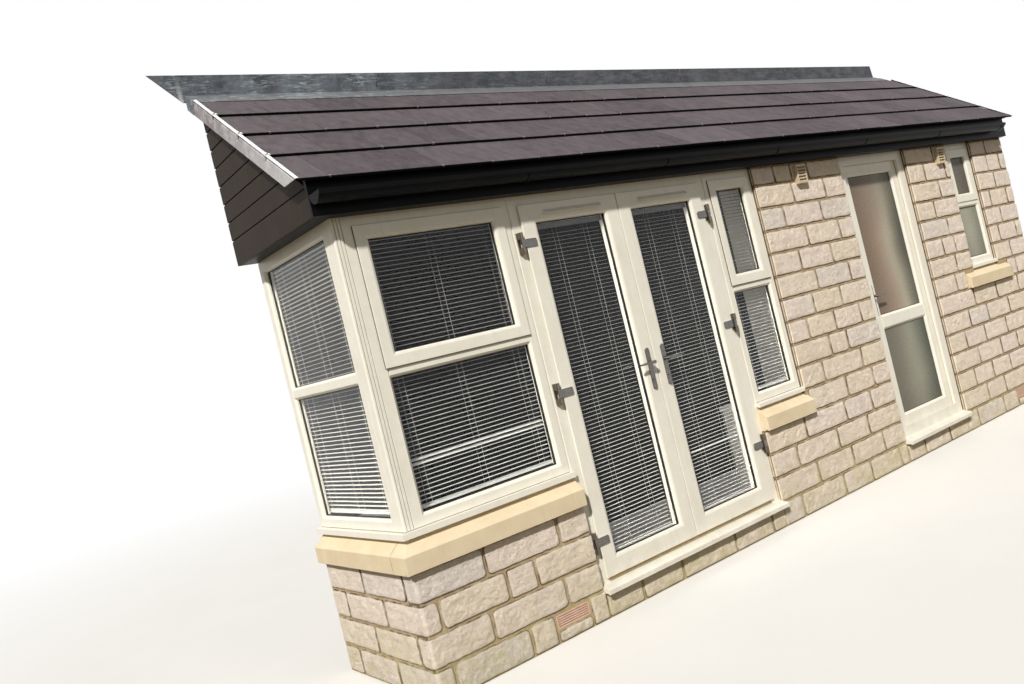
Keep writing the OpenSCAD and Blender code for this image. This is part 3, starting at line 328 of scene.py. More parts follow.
# The plain finishes, with screen colours from 0 to 255. grain: coarse scale, fine scale
# and contrast; edge: radius, amount and colour of the paler edges, part wear and part
# painted highlight; dirt and ground: amount and colour; the underside colour: painted
# shade on slats and painted reflection on metal, for faces that look down over the range
# turn, and painted shadow on what is above
finishes = {
    "concrete": {"light": (172, 168, 158), "dark": (140, 136, 128),
                 "grain": (30.0, 260.0, 2.4), "bump": 0.0012, "roughness": (0.8, 0.95),
                 "edge": (0.003, 0.3, (190, 187, 178)), "dirt": (0.35, (118, 112, 100))},
    "timber": {"light": (214, 180, 132), "dark": (176, 138, 90), "stretch": (1.0, 6.0, 6.0),
               "grain": (9.0, 60.0, 3.0), "bump": 0.0008, "roughness": (0.55, 0.8),
               "edge": (0.002, 0.25, (226, 198, 152)), "dirt": (0.2, (120, 98, 70))},
    "plaster": {"light": (232, 230, 223), "dark": (221, 218, 209),
                "grain": (55.0, 420.0, 1.8), "bump": 0.0004, "roughness": (0.6, 0.8),
                "edge": (0.002, 0.2, (240, 238, 232)), "dirt": (0.2, (196, 190, 176))},
    "black_plastic": {"light": (11, 11, 13), "dark": (6, 6, 8), "specular": 0.06,
                      "grain": (40.0, 500.0, 1.6), "bump": 0.0002, "roughness": (0.3, 0.5),
                      "edge": (0.0015, 0.3, (38, 40, 46)), "dirt": (0.2, (32, 31, 30))},
    "clip_plastic": {"light": (136, 134, 134), "dark": (104, 101, 102), "specular": 0.3,
                     "grain": (60.0, 420.0, 2.2), "bump": 0.0003, "roughness": (0.45, 0.65),
                     "edge": (0.0012, 0.4, (176, 175, 174)), "dirt": (0.35, (74, 70, 70))},
    "cladding": {"light": (51, 43, 36), "dark": (35, 28, 23), "stretch": (8.0, 1.0, 8.0),
                 "grain": (12.0, 70.0, 3.2), "bump": 0.0007, "roughness": (0.5, 0.75),
                 "edge": (0.0015, 0.2, (78, 70, 62)), "dirt": (0.2, (82, 75, 67)),
                 "specular": 0.1},
    "sandstone": {"light": (230, 214, 184), "dark": (216, 198, 166), "specular": 0.1,
                  "grain": (7.0, 500.0, 2.2), "bump": 0.0006, "roughness": (0.8, 0.95),
                  "edge": (0.003, 0.3, (238, 226, 202)), "dirt": (0.3, (198, 176, 142))},
    "vent_plastic": {"light": (214, 196, 166), "dark": (192, 172, 142),
                     "grain": (90.0, 500.0, 2.0), "bump": 0.0002, "roughness": (0.4, 0.6),
                     "edge": (0.0008, 0.4, (228, 214, 190)), "dirt": (0.35, (130, 112, 88))},
    "white_plastic": {"light": (240, 236, 224), "dark": (229, 224, 209),
                      "grain": (22.0, 320.0, 1.4), "bump": 0.00012,
                      "roughness": (0.24, 0.42), "edge": (0.0014, 0.25, (246, 243, 234)),
                      "dirt": (0.16, (176, 168, 146)), "ground": (0.45, (168, 156, 128))},
    "blind_metal": {"light": (216, 214, 206), "dark": (196, 194, 186),
                    "grain": (25.0, 200.0, 1.4), "bump": 0.0001, "roughness": (0.3, 0.5),
                    "edge": (0.0004, 0.2, (248, 248, 245)), "dirt": (0.15, (190, 188, 180))},
    # chrome: darker where faces turn from up, as painted reflection of dark surroundings
    "chrome": {"light": (206, 203, 197), "dark": (160, 157, 151), "metallic": 1.0,
               "grain": (45.0, 420.0, 2.0), "bump": 0.0001, "roughness": (0.12, 0.3),
               "edge": (0.001, 0.35, (228, 226, 220)), "dirt": (0.3, (84, 78, 70)),
               "underside": (44, 42, 42), "turn": (0.55, -0.3)},
    "brass": {"light": (196, 172, 126), "dark": (150, 126, 86), "metallic": 1.0,
              "grain": (60.0, 420.0, 2.4), "bump": 0.0001, "roughness": (0.25, 0.5),
              "edge": (0.0008, 0.5, (214, 194, 152)), "dirt": (0.4, (96, 80, 56))},
    "terracotta": {"light": (232, 200, 182), "dark": (208, 164, 142),
                   "grain": (80.0, 520.0, 2.8), "bump": 0.0005, "roughness": (0.7, 0.9),
                   "edge": (0.0015, 0.3, (244, 218, 202)), "dirt": (0.4, (178, 152, 132))},
    "rubber": {"light": (30, 30, 31), "dark": (16, 16, 17), "specular": 0.12,
               "grain": (120.0, 600.0, 1.6), "bump": 0.0001, "roughness": (0.5, 0.7),
               "edge": (0.0004, 0.2, (52, 52, 52)), "dirt": (0.2, (60, 58, 54))},
    # slats: colours darkened as painted shade of the unlit room, with painted shade
    # underneath and painted shadow of the eave above 1.8 m
    "slat": {"light": (204, 202, 198), "dark": (184, 182, 178), "specular": 0.2,
             "grain": (25.0, 200.0, 1.4), "bump": 0.0001, "roughness": (0.4, 0.6),
             "edge": (0.0004, 0.2, (236, 234, 226)), "dirt": (0.2, (160, 156, 146)),
             "underside": (28, 27, 26), "above": (1.80, 2.02, 0.0, 0.8)},
    "sealant": {"light": (104, 90, 72), "dark": (66, 56, 46), "specular": 0.2,
                "grain": (60.0, 420.0, 2.4), "bump": 0.0003, "roughness": (0.6, 0.8),
                "edge": (0.0006, 0.2, (124, 110, 90)), "dirt": (0.3, (48, 42, 36))},
    # hinge metal: darker where faces turn down, as painted reflection of dark surroundings
    "hinge_metal": {"light": (168, 156, 138), "dark": (112, 102, 90), "metallic": 0.8,
                    "grain": (60.0, 420.0, 2.4), "bump": 0.0001, "roughness": (0.25, 0.5),
                    "edge": (0.001, 0.5, (190, 180, 164)), "dirt": (0.4, (56, 48, 40)),
                    "underside": (60, 52, 44), "turn": (0.5, -0.5)},
}
# the return window's slats: closer to the blinds' own white, with weaker painted shade
# underneath and above
finishes["pale_slat"] = dict(finishes["slat"], light=(240, 236, 226), dark=(224, 220, 209),
                             underside=(176, 171, 160), above=(1.9, 2.1, 0.0, 0.3))


def makeFinish(name, look):
    # a light and a dark tone mixed by the grain, paler or darker at the edges as part wear
    # and part painted highlight, weathered, with a painted underside and painted shadow
    # above a height where the look asks for them, and the grain's height as bump over
    # softened edges
    sh, shader, _ = startMaterial(name)
    scale, fineScale, contrast = look["grain"]
    radius, edgeWearAndHighlight, edgeWearAndHighlightColor = look["edge"]
    amount, dirt = look["dirt"]
    ground, groundDirt = look.get("ground", (0.0, dirt))
    grain = sh.group(grainGroup, {
        "Scale": scale, "Fine Scale": fineScale, "Contrast": contrast,
        "Stretch": look.get("stretch", (1.0, 1.0, 1.0))})
    edges = sh.group(edgesGroup, {"Radius": radius})
    color = sh.mix(grain["Tone"], look["dark"], look["light"])
    # the edges' colour is part wear and part painted highlight
    weather = sh.group(weatherGroup, {
        "Color": sh.mix(sh.times(edges["Mask"], edgeWearAndHighlight), color, edgeWearAndHighlightColor), "Dirt": dirt,
        "Amount": amount, "Ground": ground, "Ground Dirt": groundDirt})
    color = weather["Color"]
    # painted shade under slats and painted reflection on metal, on faces that turn down
    if "underside" in look:
        down = sh.spread(sh.facing(), *look.get("turn", (-0.1, -0.7)))
        color = sh.mix(down, color, look["underside"])
    # painted shadow of the eave above a height
    if "above" in look:
        high = sh.spread(sh.axes(sh.place())[2], *look["above"])
        color = sh.mix(high, color, look["underside"])
    rough = sh.spread(sh.plus(grain["Tone"], weather["Mask"]), 0.0, 1.4, *look["roughness"])
    sh.surface(shader, color, rough, look.get("specular", 0.5),
               sh.bump(grain["Height"], look["bump"], Normal=edges["Normal"]),
               look.get("metallic", 0.0))


# the pit colour is painted shade in the crust's hollows and also the colour of dirt; the rim
# colour is painted shade along each stone's rim and in the reveals
stoneLook = {
    "pink": (254, 237, 223), "buff": (250, 234, 210), "grey": (244, 232, 220),
    "chalk": (255, 250, 242), "pitShadeAndDirt": (160, 140, 118), "moss": (198, 190, 132),
    "mortar": (206, 184, 146), "mortarDark": (156, 132, 98), "rim": (92, 76, 58),
    "plaster": (226, 223, 214), "plasterDark": (206, 202, 190),
    "roughness": 0.95, "specular": 0.08,
    # the outer leaf, in metres: its back, its end, and where a reveal begins
    "leafBack": -0.379, "leafEnd": 3.127, "reveal": (-0.483, -0.480, 0.0, 0.7),
}


def makeStone():
    # reconstructed stone: each stone's tone picks between pink, buff and grey; blotches
    # and sand grains vary it, the crust's pits are darkened as painted shade, the lowest
    # courses are stained, and the rim that goes down to the mortar is darkened in patches as
    # painted shade
    sh, shader, _ = startMaterial("stone")
    look = stoneLook
    place, tone = sh.place(), sh.attribute("tone")
    color = sh.mix(sh.spread(tone, -0.5, 0.7), look["pink"], look["buff"])
    color = sh.mix(sh.spread(tone, -0.35, -0.9), color, look["grey"])
    blotch = sh.spread(sh.noise(place, 16.0, 5.0, 0.62), 0.35, 0.7, 0.86, 1.06)
    sand = sh.spread(sh.noise(place, 480.0, 2.0), 0.3, 0.7, 0.90, 1.07)
    light = sh.times(blotch, sand)
    light = sh.add("CombineColor", {0: light, 1: light, 2: light})[0]
    color = sh.mix(1.0, color, light, "MULTIPLY")
    crust = sh.noise(place, 84.0, 8.0, 0.8)
    color = sh.mix(sh.spread(crust, 0.50, 0.62, 0.0, 0.75), color, look["chalk"])
    # painted shade in the crust's pits
    color = sh.mix(sh.spread(crust, 0.44, 0.33, 0.0, 0.62), color, look["pitShadeAndDirt"])
    # painted shade along each stone's rim, in patches
    dirt = sh.times(sh.spread(sh.attribute("rim"), 0.2, 0.6),
                    sh.spread(sh.noise(place, 13.0), 0.36, 0.58, 0.45, 1.0))
    weather = sh.group(weatherGroup, {
        "Color": sh.mix(dirt, color, look["rim"]), "Dirt": look["pitShadeAndDirt"], "Amount": 0.13,
        "Ground": 0.6, "Ground Dirt": look["moss"]})
    height = sh.plus(crust, sh.times(sh.noise(place, 380.0, 2.0), 0.2))
    sh.surface(shader, weather["Color"], look["roughness"], look["specular"],
               sh.bump(height, 0.010))


def makeWall():
    # the walls' solids: sandy mortar on the stone leaf, painted plaster inside; the
    # outer leaf is told by its place, and the mortar in a reveal is darkened as painted shade
    sh, shader, _ = startMaterial("wall")
    look = stoneLook
    x, y, _ = sh.axes(sh.place())
    front = sh.math("LESS_THAN", y, look["leafBack"])
    end = sh.math("GREATER_THAN", sh.math("ABSOLUTE", x), look["leafEnd"])
    outside = sh.most(front, end)
    grain = sh.group(grainGroup, {"Scale": 45.0, "Fine Scale": 600.0, "Contrast": 2.4})
    weather = sh.group(weatherGroup, {
        "Color": sh.mix(grain["Tone"], look["mortarDark"], look["mortar"]),
        "Dirt": look["pitShadeAndDirt"], "Amount": 0.2, "Ground": 0.6, "Ground Dirt": look["moss"]})
    # painted shade on the mortar in the reveals
    reveal = sh.times(sh.spread(y, *look["reveal"]), front)
    weatherAndRevealShade = sh.mix(reveal, weather["Color"], look["rim"])
    paint = sh.mix(sh.times(grain["Tone"], 0.25), look["plaster"], look["plasterDark"])
    height = sh.times(grain["Height"], sh.plus(outside, 0.12))
    sh.surface(shader, sh.mix(outside, paint, weatherAndRevealShade), look["roughness"],
               look["specular"], sh.bump(height, 0.004))


tileLook = {"tile": (101, 94, 98), "dark": (72, 66, 70), "dust": (124, 114, 112),
            "nose": (14, 13, 13)}


def makeTile():
    # smooth concrete tiles: each tile has its own tone, with fine speckle and dust along
    # the weather; the noses, which face down the slope, are painted near black as shade
    sh, shader, _ = startMaterial("tile")
    look = tileLook
    grain = sh.group(grainGroup, {"Scale": 24.0, "Fine Scale": 600.0, "Contrast": 2.6,
                                  "Stretch": (1.0, 0.5, 0.5)})
    mixed = sh.plus(sh.times(sh.attribute("tone"), 0.30), grain["Tone"], clamp=True)
    speckle = sh.spread(sh.noise(sh.place(), 700.0, 1.0), 0.60, 0.72, 0.0, 0.4)
    color = sh.mix(speckle, sh.mix(mixed, look["dark"], look["tile"]), look["dust"])
    weather = sh.group(weatherGroup, {"Color": color, "Dirt": look["dust"], "Amount": 0.2})
    # painted shade on the noses, which face down
    color = sh.mix(sh.spread(sh.facing(), 0.45, 0.15), weather["Color"], look["nose"])
    sh.surface(shader, color, sh.spread(weather["Mask"], 0.0, 0.3, 0.75, 0.9), 0.06,
               sh.bump(grain["Height"], 0.0012))


vergeLook = {"face": (196, 196, 197), "faceDark": (128, 118, 122), "lip": (236, 236, 237),
             "line": (70, 66, 66), "speck": (92, 84, 82), "roofFoot": (-0.5833, 2.3565),
             "lineHeight": 0.0285}


def makeVerge():
    # the dry verge: a pale bead along its top with a line of painted shadow under it, and
    # a face that grows darker from its foot to its head. The height over the slope is told
    # by the place
    sh, shader, _ = startMaterial("verge_plastic")
    look = vergeLook
    place = sh.place()
    _, y, z = sh.axes(place)
    footY, footZ = look["roofFoot"]
    over = sh.minus(sh.times(sh.minus(z, footZ), math.cos(roofPitch)),
                    sh.times(sh.minus(y, footY), math.sin(roofPitch)))
    cloud = sh.noise(sh.place((1.0, 3.0, 3.0)), 5.0, 5.0, 0.62)
    darkerToHead = sh.times(sh.spread(z, 2.42, 2.92, 0.25, 1.0),
                    sh.spread(cloud, 0.34, 0.56, 0.35, 1.0))
    specks = sh.spread(sh.noise(place, 70.0, 5.0, 0.7), 0.56, 0.68, 0.0, 0.7)
    # a line of painted shadow under the bead
    fromLine = sh.math("ABSOLUTE", sh.minus(over, look["lineHeight"]))
    line = sh.times(sh.spread(fromLine, 0.0045, 0.0025),
                    sh.spread(cloud, 0.36, 0.5, 0.35, 1.0))
    color = sh.mix(darkerToHead, look["face"], look["faceDark"])
    color = sh.mix(specks, color, look["speck"])
    color = sh.mix(sh.spread(over, 0.0330, 0.0350), color, look["lip"])
    sh.surface(shader, sh.mix(line, color, look["line"]),
               sh.spread(cloud, 0.3, 0.7, 0.4, 0.6), 0.3, sh.bump(cloud, 0.002, 0.6))


leadLook = {
    "plain": (84, 84, 88), "newer": (112, 120, 128), "dark": (62, 64, 70),
    "apron": (128, 126, 124), "streak": (168, 178, 184), "fold": (236, 238, 240),
    "stain": (110, 112, 116), "foldPlace": -3.405,
}


def makeLead():
    # sheet lead: plain grey, and blue grey with pale scratches on the newer left sheet;
    # the apron on the slope is paler, and the wing's fold catches the light
    sh, shader, _ = startMaterial("lead")
    look = leadLook
    place = sh.place()
    x, _, z = sh.axes(place)
    newer = sh.spread(x, -1.7, -2.3)
    clouds = sh.spread(sh.noise(sh.place((5.0, 5.0, 2.0)), 1.6, 5.0, 0.62), 0.36, 0.66)
    scratches = sh.spread(sh.noise(sh.place((9.0, 9.0, 55.0)), 1.6, 5.0, 0.75, 0.6),
                          0.47, 0.66)
    patches = sh.spread(sh.noise(place, 9.0), 0.38, 0.60)
    marks = sh.times(sh.times(scratches, patches), sh.spread(newer, 0.0, 1.0, 0.2, 1.0))
    fromFold = sh.math("ABSOLUTE", sh.minus(x, look["foldPlace"]))
    fold = sh.times(sh.spread(fromFold, 0.016, 0.003), sh.spread(z, 3.24, 3.10, 0.0, 0.9))
    stains = sh.spread(sh.noise(sh.place((3.0, 3.0, 8.0)), 2.2, 6.0, 0.7),
                       0.45, 0.62, 0.0, 0.5)
    color = sh.mix(sh.times(clouds, 0.75), look["dark"],
                   sh.mix(newer, look["plain"], look["newer"]))
    color = sh.mix(sh.spread(sh.facing(), 0.3, 0.7, 0.0, 0.45), color, look["apron"])
    for mask, name in [(marks, "streak"), (fold, "fold"), (stains, "stain")]:
        color = sh.mix(mask, color, look[name])
    height = sh.plus(sh.noise(place, 13.0, 3.0, 0.5),
                     sh.times(sh.noise(place, 160.0, 3.0), 0.06))
    sh.surface(shader, color, sh.spread(clouds, 0.0, 1.0, 0.5, 0.7), 0.2,
               sh.bump(height, 0.010, 0.8), metallic=0.15)


glassLook = {"tint": (240, 241, 241), "dust": (210, 206, 192), "ior": 1.24,
             "shadow": (0.89, 0.9, 0.9, 1.0)}


def closeGlass(sh, shader, output):
    # lamps pass straight through the glass, everything else sees the shader
    clear = sh.add("BsdfTransparent", {"Color": glassLook["shadow"]})[0]
    lamps = sh.add("LightPath")["Is Shadow Ray"]
    sh.fill(output, {"Surface": sh.either(lamps, shader.outputs[0], clear)})


def makeGlass():
    # sealed units: clear glass with faint dust and waviness
    sh, shader, output = startMaterial("glass")
    place = sh.place()
    dust = sh.spread(sh.noise(place, 9.0, 6.0, 0.7), 0.5, 0.8)
    sh.fill(shader, {
        "Base Color": sh.mix(sh.times(dust, 0.12), glassLook["tint"], glassLook["dust"]),
        "Roughness": sh.times(dust, 0.03), "Transmission Weight": 1.0,
        "Normal": sh.bump(sh.noise(place, 2.5, 2.0), 0.002, 0.25),
        "IOR": glassLook["ior"]})
    closeGlass(sh, shader, output)


# Patterned glass: painted light of the room behind, as tones from the left of a pane
# to its right, above and below a rail.
obscurePanes = {
    "back_obscure": {
        "span": (0.906, 1.468), "rail": 1.0, "foot": 0.33, "head": 2.08,
        "upper": [(0.0, (122, 103, 86)), (0.3, (150, 131, 113)), (0.52, (171, 155, 137)),
                  (0.66, (181, 175, 156)), (0.80, (137, 133, 116)), (1.0, (73, 72, 63))],
        "lower": [(0.0, (111, 106, 94)), (0.3, (133, 129, 115)), (0.55, (160, 159, 143)),
                  (0.75, (130, 131, 117)), (1.0, (67, 69, 62))]},
    "small_obscure": {
        "span": (2.305, 2.621), "rail": 1.75, "foot": 1.28, "head": 2.11,
        "upper": [(0.0, (115, 106, 91)), (0.5, (99, 92, 82)), (1.0, (65, 62, 56))],
        "lower": [(0.0, (135, 131, 114)), (0.45, (184, 182, 166)), (1.0, (115, 117, 103))]},
}
obscureLook = {"roughness": (0.21, 0.36), "transmission": 0.1, "ends": (96, 90, 78)}


def toneRamp(sh, factor, stops):
    # a colour ramp with its stops set out in order
    ramp = sh.tree.nodes.new("ShaderNodeValToRGB")
    ramp.color_ramp.interpolation = "B_SPLINE"
    elements = ramp.color_ramp.elements
    while len(elements) < len(stops):
        elements.new(0.5)
    for element, (position, tone) in zip(elements, stops):
        element.position = position
        element.color = shade(*tone)
    sh.fill(ramp, {0: factor})
    return ramp.outputs[0]


def makeObscure(name, look):
    # patterned glass: a milky sheet with a fine stipple, on which the light of the room
    # behind is painted as soft upright bands, with painted shade at the head and the foot
    sh, shader, output = startMaterial(name)
    place = sh.place()
    x, _, z = sh.axes(place)
    drift = sh.times(sh.minus(sh.noise(place, 2.2, 1.0), 0.5), 0.16)
    across = sh.spread(sh.plus(x, drift), *look["span"])
    color = sh.mix(sh.math("GREATER_THAN", z, look["rail"]),
                   toneRamp(sh, across, look["lower"]), toneRamp(sh, across, look["upper"]))
    # painted shade at the head and the foot
    ends = sh.most(sh.spread(z, look["head"] - 0.45, look["head"], 0.0, 0.45),
                   sh.spread(z, look["foot"] + 0.2, look["foot"], 0.0, 0.35))
    stipple = sh.noise(place, 240.0, 2.0)
    sh.fill(shader, {
        "Base Color": sh.mix(ends, color, obscureLook["ends"]),
        "Roughness": sh.spread(stipple, 0.3, 0.7, *obscureLook["roughness"]),
        "Normal": sh.bump(stipple, 0.001, 0.4), "IOR": 1.3, "Specular IOR Level": 0.3,
        "Transmission Weight": obscureLook["transmission"]})
    closeGlass(sh, shader, output)


for name, look in finishes.items():
    makeFinish(name, look)
for makeMaterial in (makeStone, makeWall, makeTile, makeVerge, makeLead, makeGlass):
    makeMaterial()
for name, look in obscurePanes.items():
    makeObscure(name, look)

nodeFinishes = {
    "wall": ["front_plinth", "return_plinth", "sidelight_plinth", "door_bases",
             "middle_wall", "door_pier", "small_window_wall", "corner_pier", "end_wall"],
    "concrete": ["floor_slab", "head_beam"],
    "timber": ["rafters", "tile_battens", "ledger", "ceiling_joists", "cheek_frame"],
    "plaster": ["ceiling", "window_boards"],
    "tile": ["roof_tiles"],
    "black_plastic": ["fascia", "soffit", "gutter"],
    "lead": ["lead_flashing"],
    "verge_plastic": ["verges"],
    "cladding": ["cheek_cladding"],
    "sandstone": ["stone_sills"],
    "vent_plastic": ["wall_vents"],
    "white_plastic": ["plastic_cills", "corner_post", "return_frame", "front_frame",
                      "sidelight_frame", "small_frame", "sashes", "sash_handles",
                      "door_frame", "back_door_frame", "left_leaf", "right_leaf",
                      "back_leaf"],
    "glass": ["window_glass", "left_glass", "right_glass"],
    "back_obscure": ["back_glass"],
    "blind_metal": ["window_blinds"],
    "hinge_metal": ["hinge_brackets"],
    "chrome": ["left_furniture", "right_furniture", "back_furniture",
               "left_lever", "right_lever", "back_lever"],
    "brass": ["threshold_strip"],
    "terracotta": ["air_bricks"],
}
for finish, names in nodeFinishes.items():
    for name in names:
        for place in nodes[name].material_slots:
            place.material = materials[finish]
dressed = sum(len(names) for names in nodeFinishes.values())
print("materials: %d finishes on %d of %d nodes" % (len(materials), dressed, len(nodes)))


def linked(name, data):
    # a new object with that data, in the scene
    made = bpy.data.objects.new(name, data)
    bpy.context.scene.collection.objects.link(made)
    return made


def addPiece(name, parts, finish, body="house_wing", smooth=False):
    # one mesh object from (points, quads, value) parts, riding on a body. A part's value
    # is one tone, or tone and rim for each point, which the materials read as attributes
    starts = np.cumsum([0] + [len(points) for points, _, _ in parts])
    points = np.concatenate([part[0] for part in parts])
    quads = np.concatenate([part[1] + start for part, start in zip(parts, starts)])
    values = np.concatenate([value if np.ndim(value) else np.tile([value, 0.0], (len(p), 1))
                             for p, _, value in parts])
    mesh = bpy.data.meshes.new(name)
    mesh.vertices.add(len(points))
    points = (points - planMiddle) / 1000.0
    mesh.vertices.foreach_set("co", points.astype(np.float32).ravel())
    mesh.loops.add(quads.size)
    mesh.loops.foreach_set("vertex_index", quads.astype(np.int32).ravel())
    mesh.polygons.add(len(quads))
    mesh.polygons.foreach_set("loop_start", np.arange(0, quads.size, 4, dtype=np.int32))
    mesh.polygons.foreach_set("use_smooth", np.full(len(quads), smooth, bool))
    mesh.update(calc_edges=True)
    for column, label in enumerate(["tone", "rim"]):
        attribute = mesh.attributes.new(label, "FLOAT", "POINT")
        attribute.data.foreach_set("value", values[:, column].astype(np.float32))
    mesh.materials.append(materials[finish])
    piece = linked(name, mesh)
    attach(piece, body)
    print("piece %s: %d faces" % (name, len(quads)))
    return piece


stoneShape = {
    "joint": 9.0,       # width of the mortar joints
    "course": 150,      # height of a course with its joint
    "ground": 4,        # height at which the lowest stones begin
    "head": 2226,       # height at which the highest ones end
    "cell": 6.5,        # spacing of the points over a stone's face
    "corner": 20.0,     # radius of the rounded corners of a face
    "proud": 4.0,       # how far the arrises stand in front of the mortar
    "crown": 3.5,       # how much more the middle of a stone stands out
    "rim": 22.0,        # distance over which the face rises from its arris
    "rimShadeWidth": 10.0,  # how far the painted shade along the joints reaches over a face
    "relief": 3.9,      # size of the pitched hollows and lumps
    # its lumps: share, lengths along the wall and up it, and seed of each noise
    "lumps": [(0.42, 46, 30, 3), (0.36, 21, 15, 5), (0.40, 9.0, 8, 7)],
    "wander": 2.6,      # how far the edges stray from a straight line
    "straight": 30,     # distance over which an edge at an opening stops straying
    "buried": 4.0,      # how deep the rim goes into the mortar
    "reveal": 21.0,     # how far a stone turns back into an opening
    "turn": 10.0,       # radius of the rounded wall corners
}


def wallPoints(s, out):
    # places along the outer face: s is below 0 on the return, up to wallLength on the
    # front and beyond it on the end wall; out is the distance in front of the face,
    # and the two corners are turned on quarter circles
    turn = stoneShape["turn"]
    left = np.clip((s + turn) / (2 * turn), 0, 1) * np.pi / 2
    right = np.clip((s - wallLength + turn) / (2 * turn), 0, 1) * np.pi / 2
    onEnd = s > wallLength / 2
    normalX = np.where(onEnd, np.sin(right), -np.cos(left))
    normalY = np.where(onEnd, -np.cos(right), -np.sin(left))
    centreX = np.where(onEnd, wallLength - turn, turn)
    centreX = np.where((s > turn) & (s < wallLength - turn), s, centreX)
    past = np.where(onEnd, s - wallLength, -s)
    centreY = np.where(past > turn, past, turn)
    return np.stack([centreX + (turn + out) * normalX, centreY + (turn + out) * normalY], -1)


def evenSteps(low, high):
    # points from low to high: close together at both rims, even between them
    rim, inner = np.array([0.0, 1.4, 5.0]), 11
    cells = int(round((high - low - 2 * inner) / stoneShape["cell"]))
    middle = np.linspace(low + inner, high - inner, max(2, cells + 1))
    return np.concatenate([low + rim, middle, high - rim[::-1]])


def closedBack(points, tone):
    # a grid of points whose outermost line lies behind the rest: the quads of the grid,
    # and a fan from the middle of that line that closes the back
    rows, columns = points.shape[:2]
    number = np.arange(rows * columns).reshape(rows, columns)
    rim = np.concatenate([number[0, :-1], number[:-1, -1], number[-1, :0:-1],
                          number[:0:-1, 0]])
    flat = points.reshape(-1, 3)
    quads = np.concatenate([gridFaces(rows, columns), fanFaces(rim, len(flat))])
    return np.concatenate([flat, flat[rim].mean(axis=0)[None]]), quads, tone


def pitchedStone(start, end, base, top, number, openStart=False, openEnd=False, slope=None):
    # a pitched stone on a grid of the wall's two directions. Near a corner the grid is
    # carried from a square to the disc inside it. The height over the mortar is
    # proud + crown * (1 - (1 - d / rim)^2) + lumps, d the distance to the nearest
    # arris; the outermost points lie in the mortar, or turn into an open reveal
    shape = stoneShape
    s, z = np.meshgrid(evenSteps(start, end), evenSteps(base, top), indexing="ij")
    offset = number * 17.3
    radius = min(shape["corner"] * (1 + 0.35 * chance(number, 8)), 0.45 * (top - base))
    beyond = 500.0      # how far off the arris of an open end is taken to be
    middleS = (start - beyond * openStart + end + beyond * openEnd) / 2
    middleZ = (base + top) / 2
    insideS = (end + beyond * openEnd - start + beyond * openStart) / 2 - radius
    insideZ = (top - base) / 2 - radius
    u = np.clip(np.abs(s - middleS) - insideS, 0, radius) / radius
    v = np.clip(np.abs(z - middleZ) - insideZ, 0, radius) / radius
    s = s + np.sign(s - middleS) * radius * u * (np.sqrt(1 - v * v / 2) - 1)
    z = z + np.sign(z - middleZ) * radius * v * (np.sqrt(1 - u * u / 2) - 1)
    acrossS = np.abs(s - middleS) - insideS
    acrossZ = np.abs(z - middleZ) - insideZ
    edge = (radius - np.hypot(np.maximum(acrossS, 0), np.maximum(acrossZ, 0))
            - np.minimum(np.maximum(acrossS, acrossZ), 0))
    if slope is not None:
        z = base + (z - base) * np.clip((slope(s) - base) / (top - base), 0.02, 1.0)
    rise = 1 - (1 - np.clip(edge / shape["rim"], 0, 1)) ** 2
    lumps = sum(share * latticeNoise(s / long + offset, z / high, seed)
                for share, long, high, seed in shape["lumps"])
    arris = np.clip(edge / 5.0, 0, 1) ** 0.5
    height = shape["proud"] * arris + shape["crown"] * rise * (1 + 0.5 * chance(number, 4))
    height = height + shape["relief"] * lumps * (0.3 + 0.7 * rise)
    height = np.maximum(height, 1.5 * arris)
    height = np.where(edge <= 0.01, -shape["buried"], height)
    stray = shape["wander"] * (1 - np.clip(edge / 26.0, 0, 1))

    def wander(along, across, long, short, seed):
        # a long and a short noise along an edge, nearly the same all across it
        slow = across / 900
        return stray * (latticeNoise(along / long + offset, slow, seed)
                        + 0.5 * latticeNoise(along / short + offset, slow, seed + 1))

    shiftS = wander(z, s, 30, 11, 11)
    shiftZ = wander(s, z, 34, 12, 13)
    if openStart:
        shiftS = shiftS * np.clip((s - start) / shape["straight"], 0, 1)
        height[0, :] = -shape["reveal"]
    if openEnd:
        shiftS = shiftS * np.clip((end - s) / shape["straight"], 0, 1)
        height[-1, :] = -shape["reveal"]
    if base == shape["ground"]:
        shiftZ = shiftZ * np.clip((z - base) / shape["straight"], 0, 1)
    xy = wallPoints(s + shiftS, height)
    points = np.concatenate([xy, (z + shiftZ)[..., None]], -1)
    tone = 0.75 * chance(number, 21) + 0.25 * chance(number, 22)
    # closeness to the arris, which the stone material darkens as painted shade
    rim = np.append(np.clip(1 - edge / shape["rimShadeWidth"], 0, 1).ravel(), 1.0)
    return closedBack(points, np.column_stack([np.full(len(rim), tone), rim]))


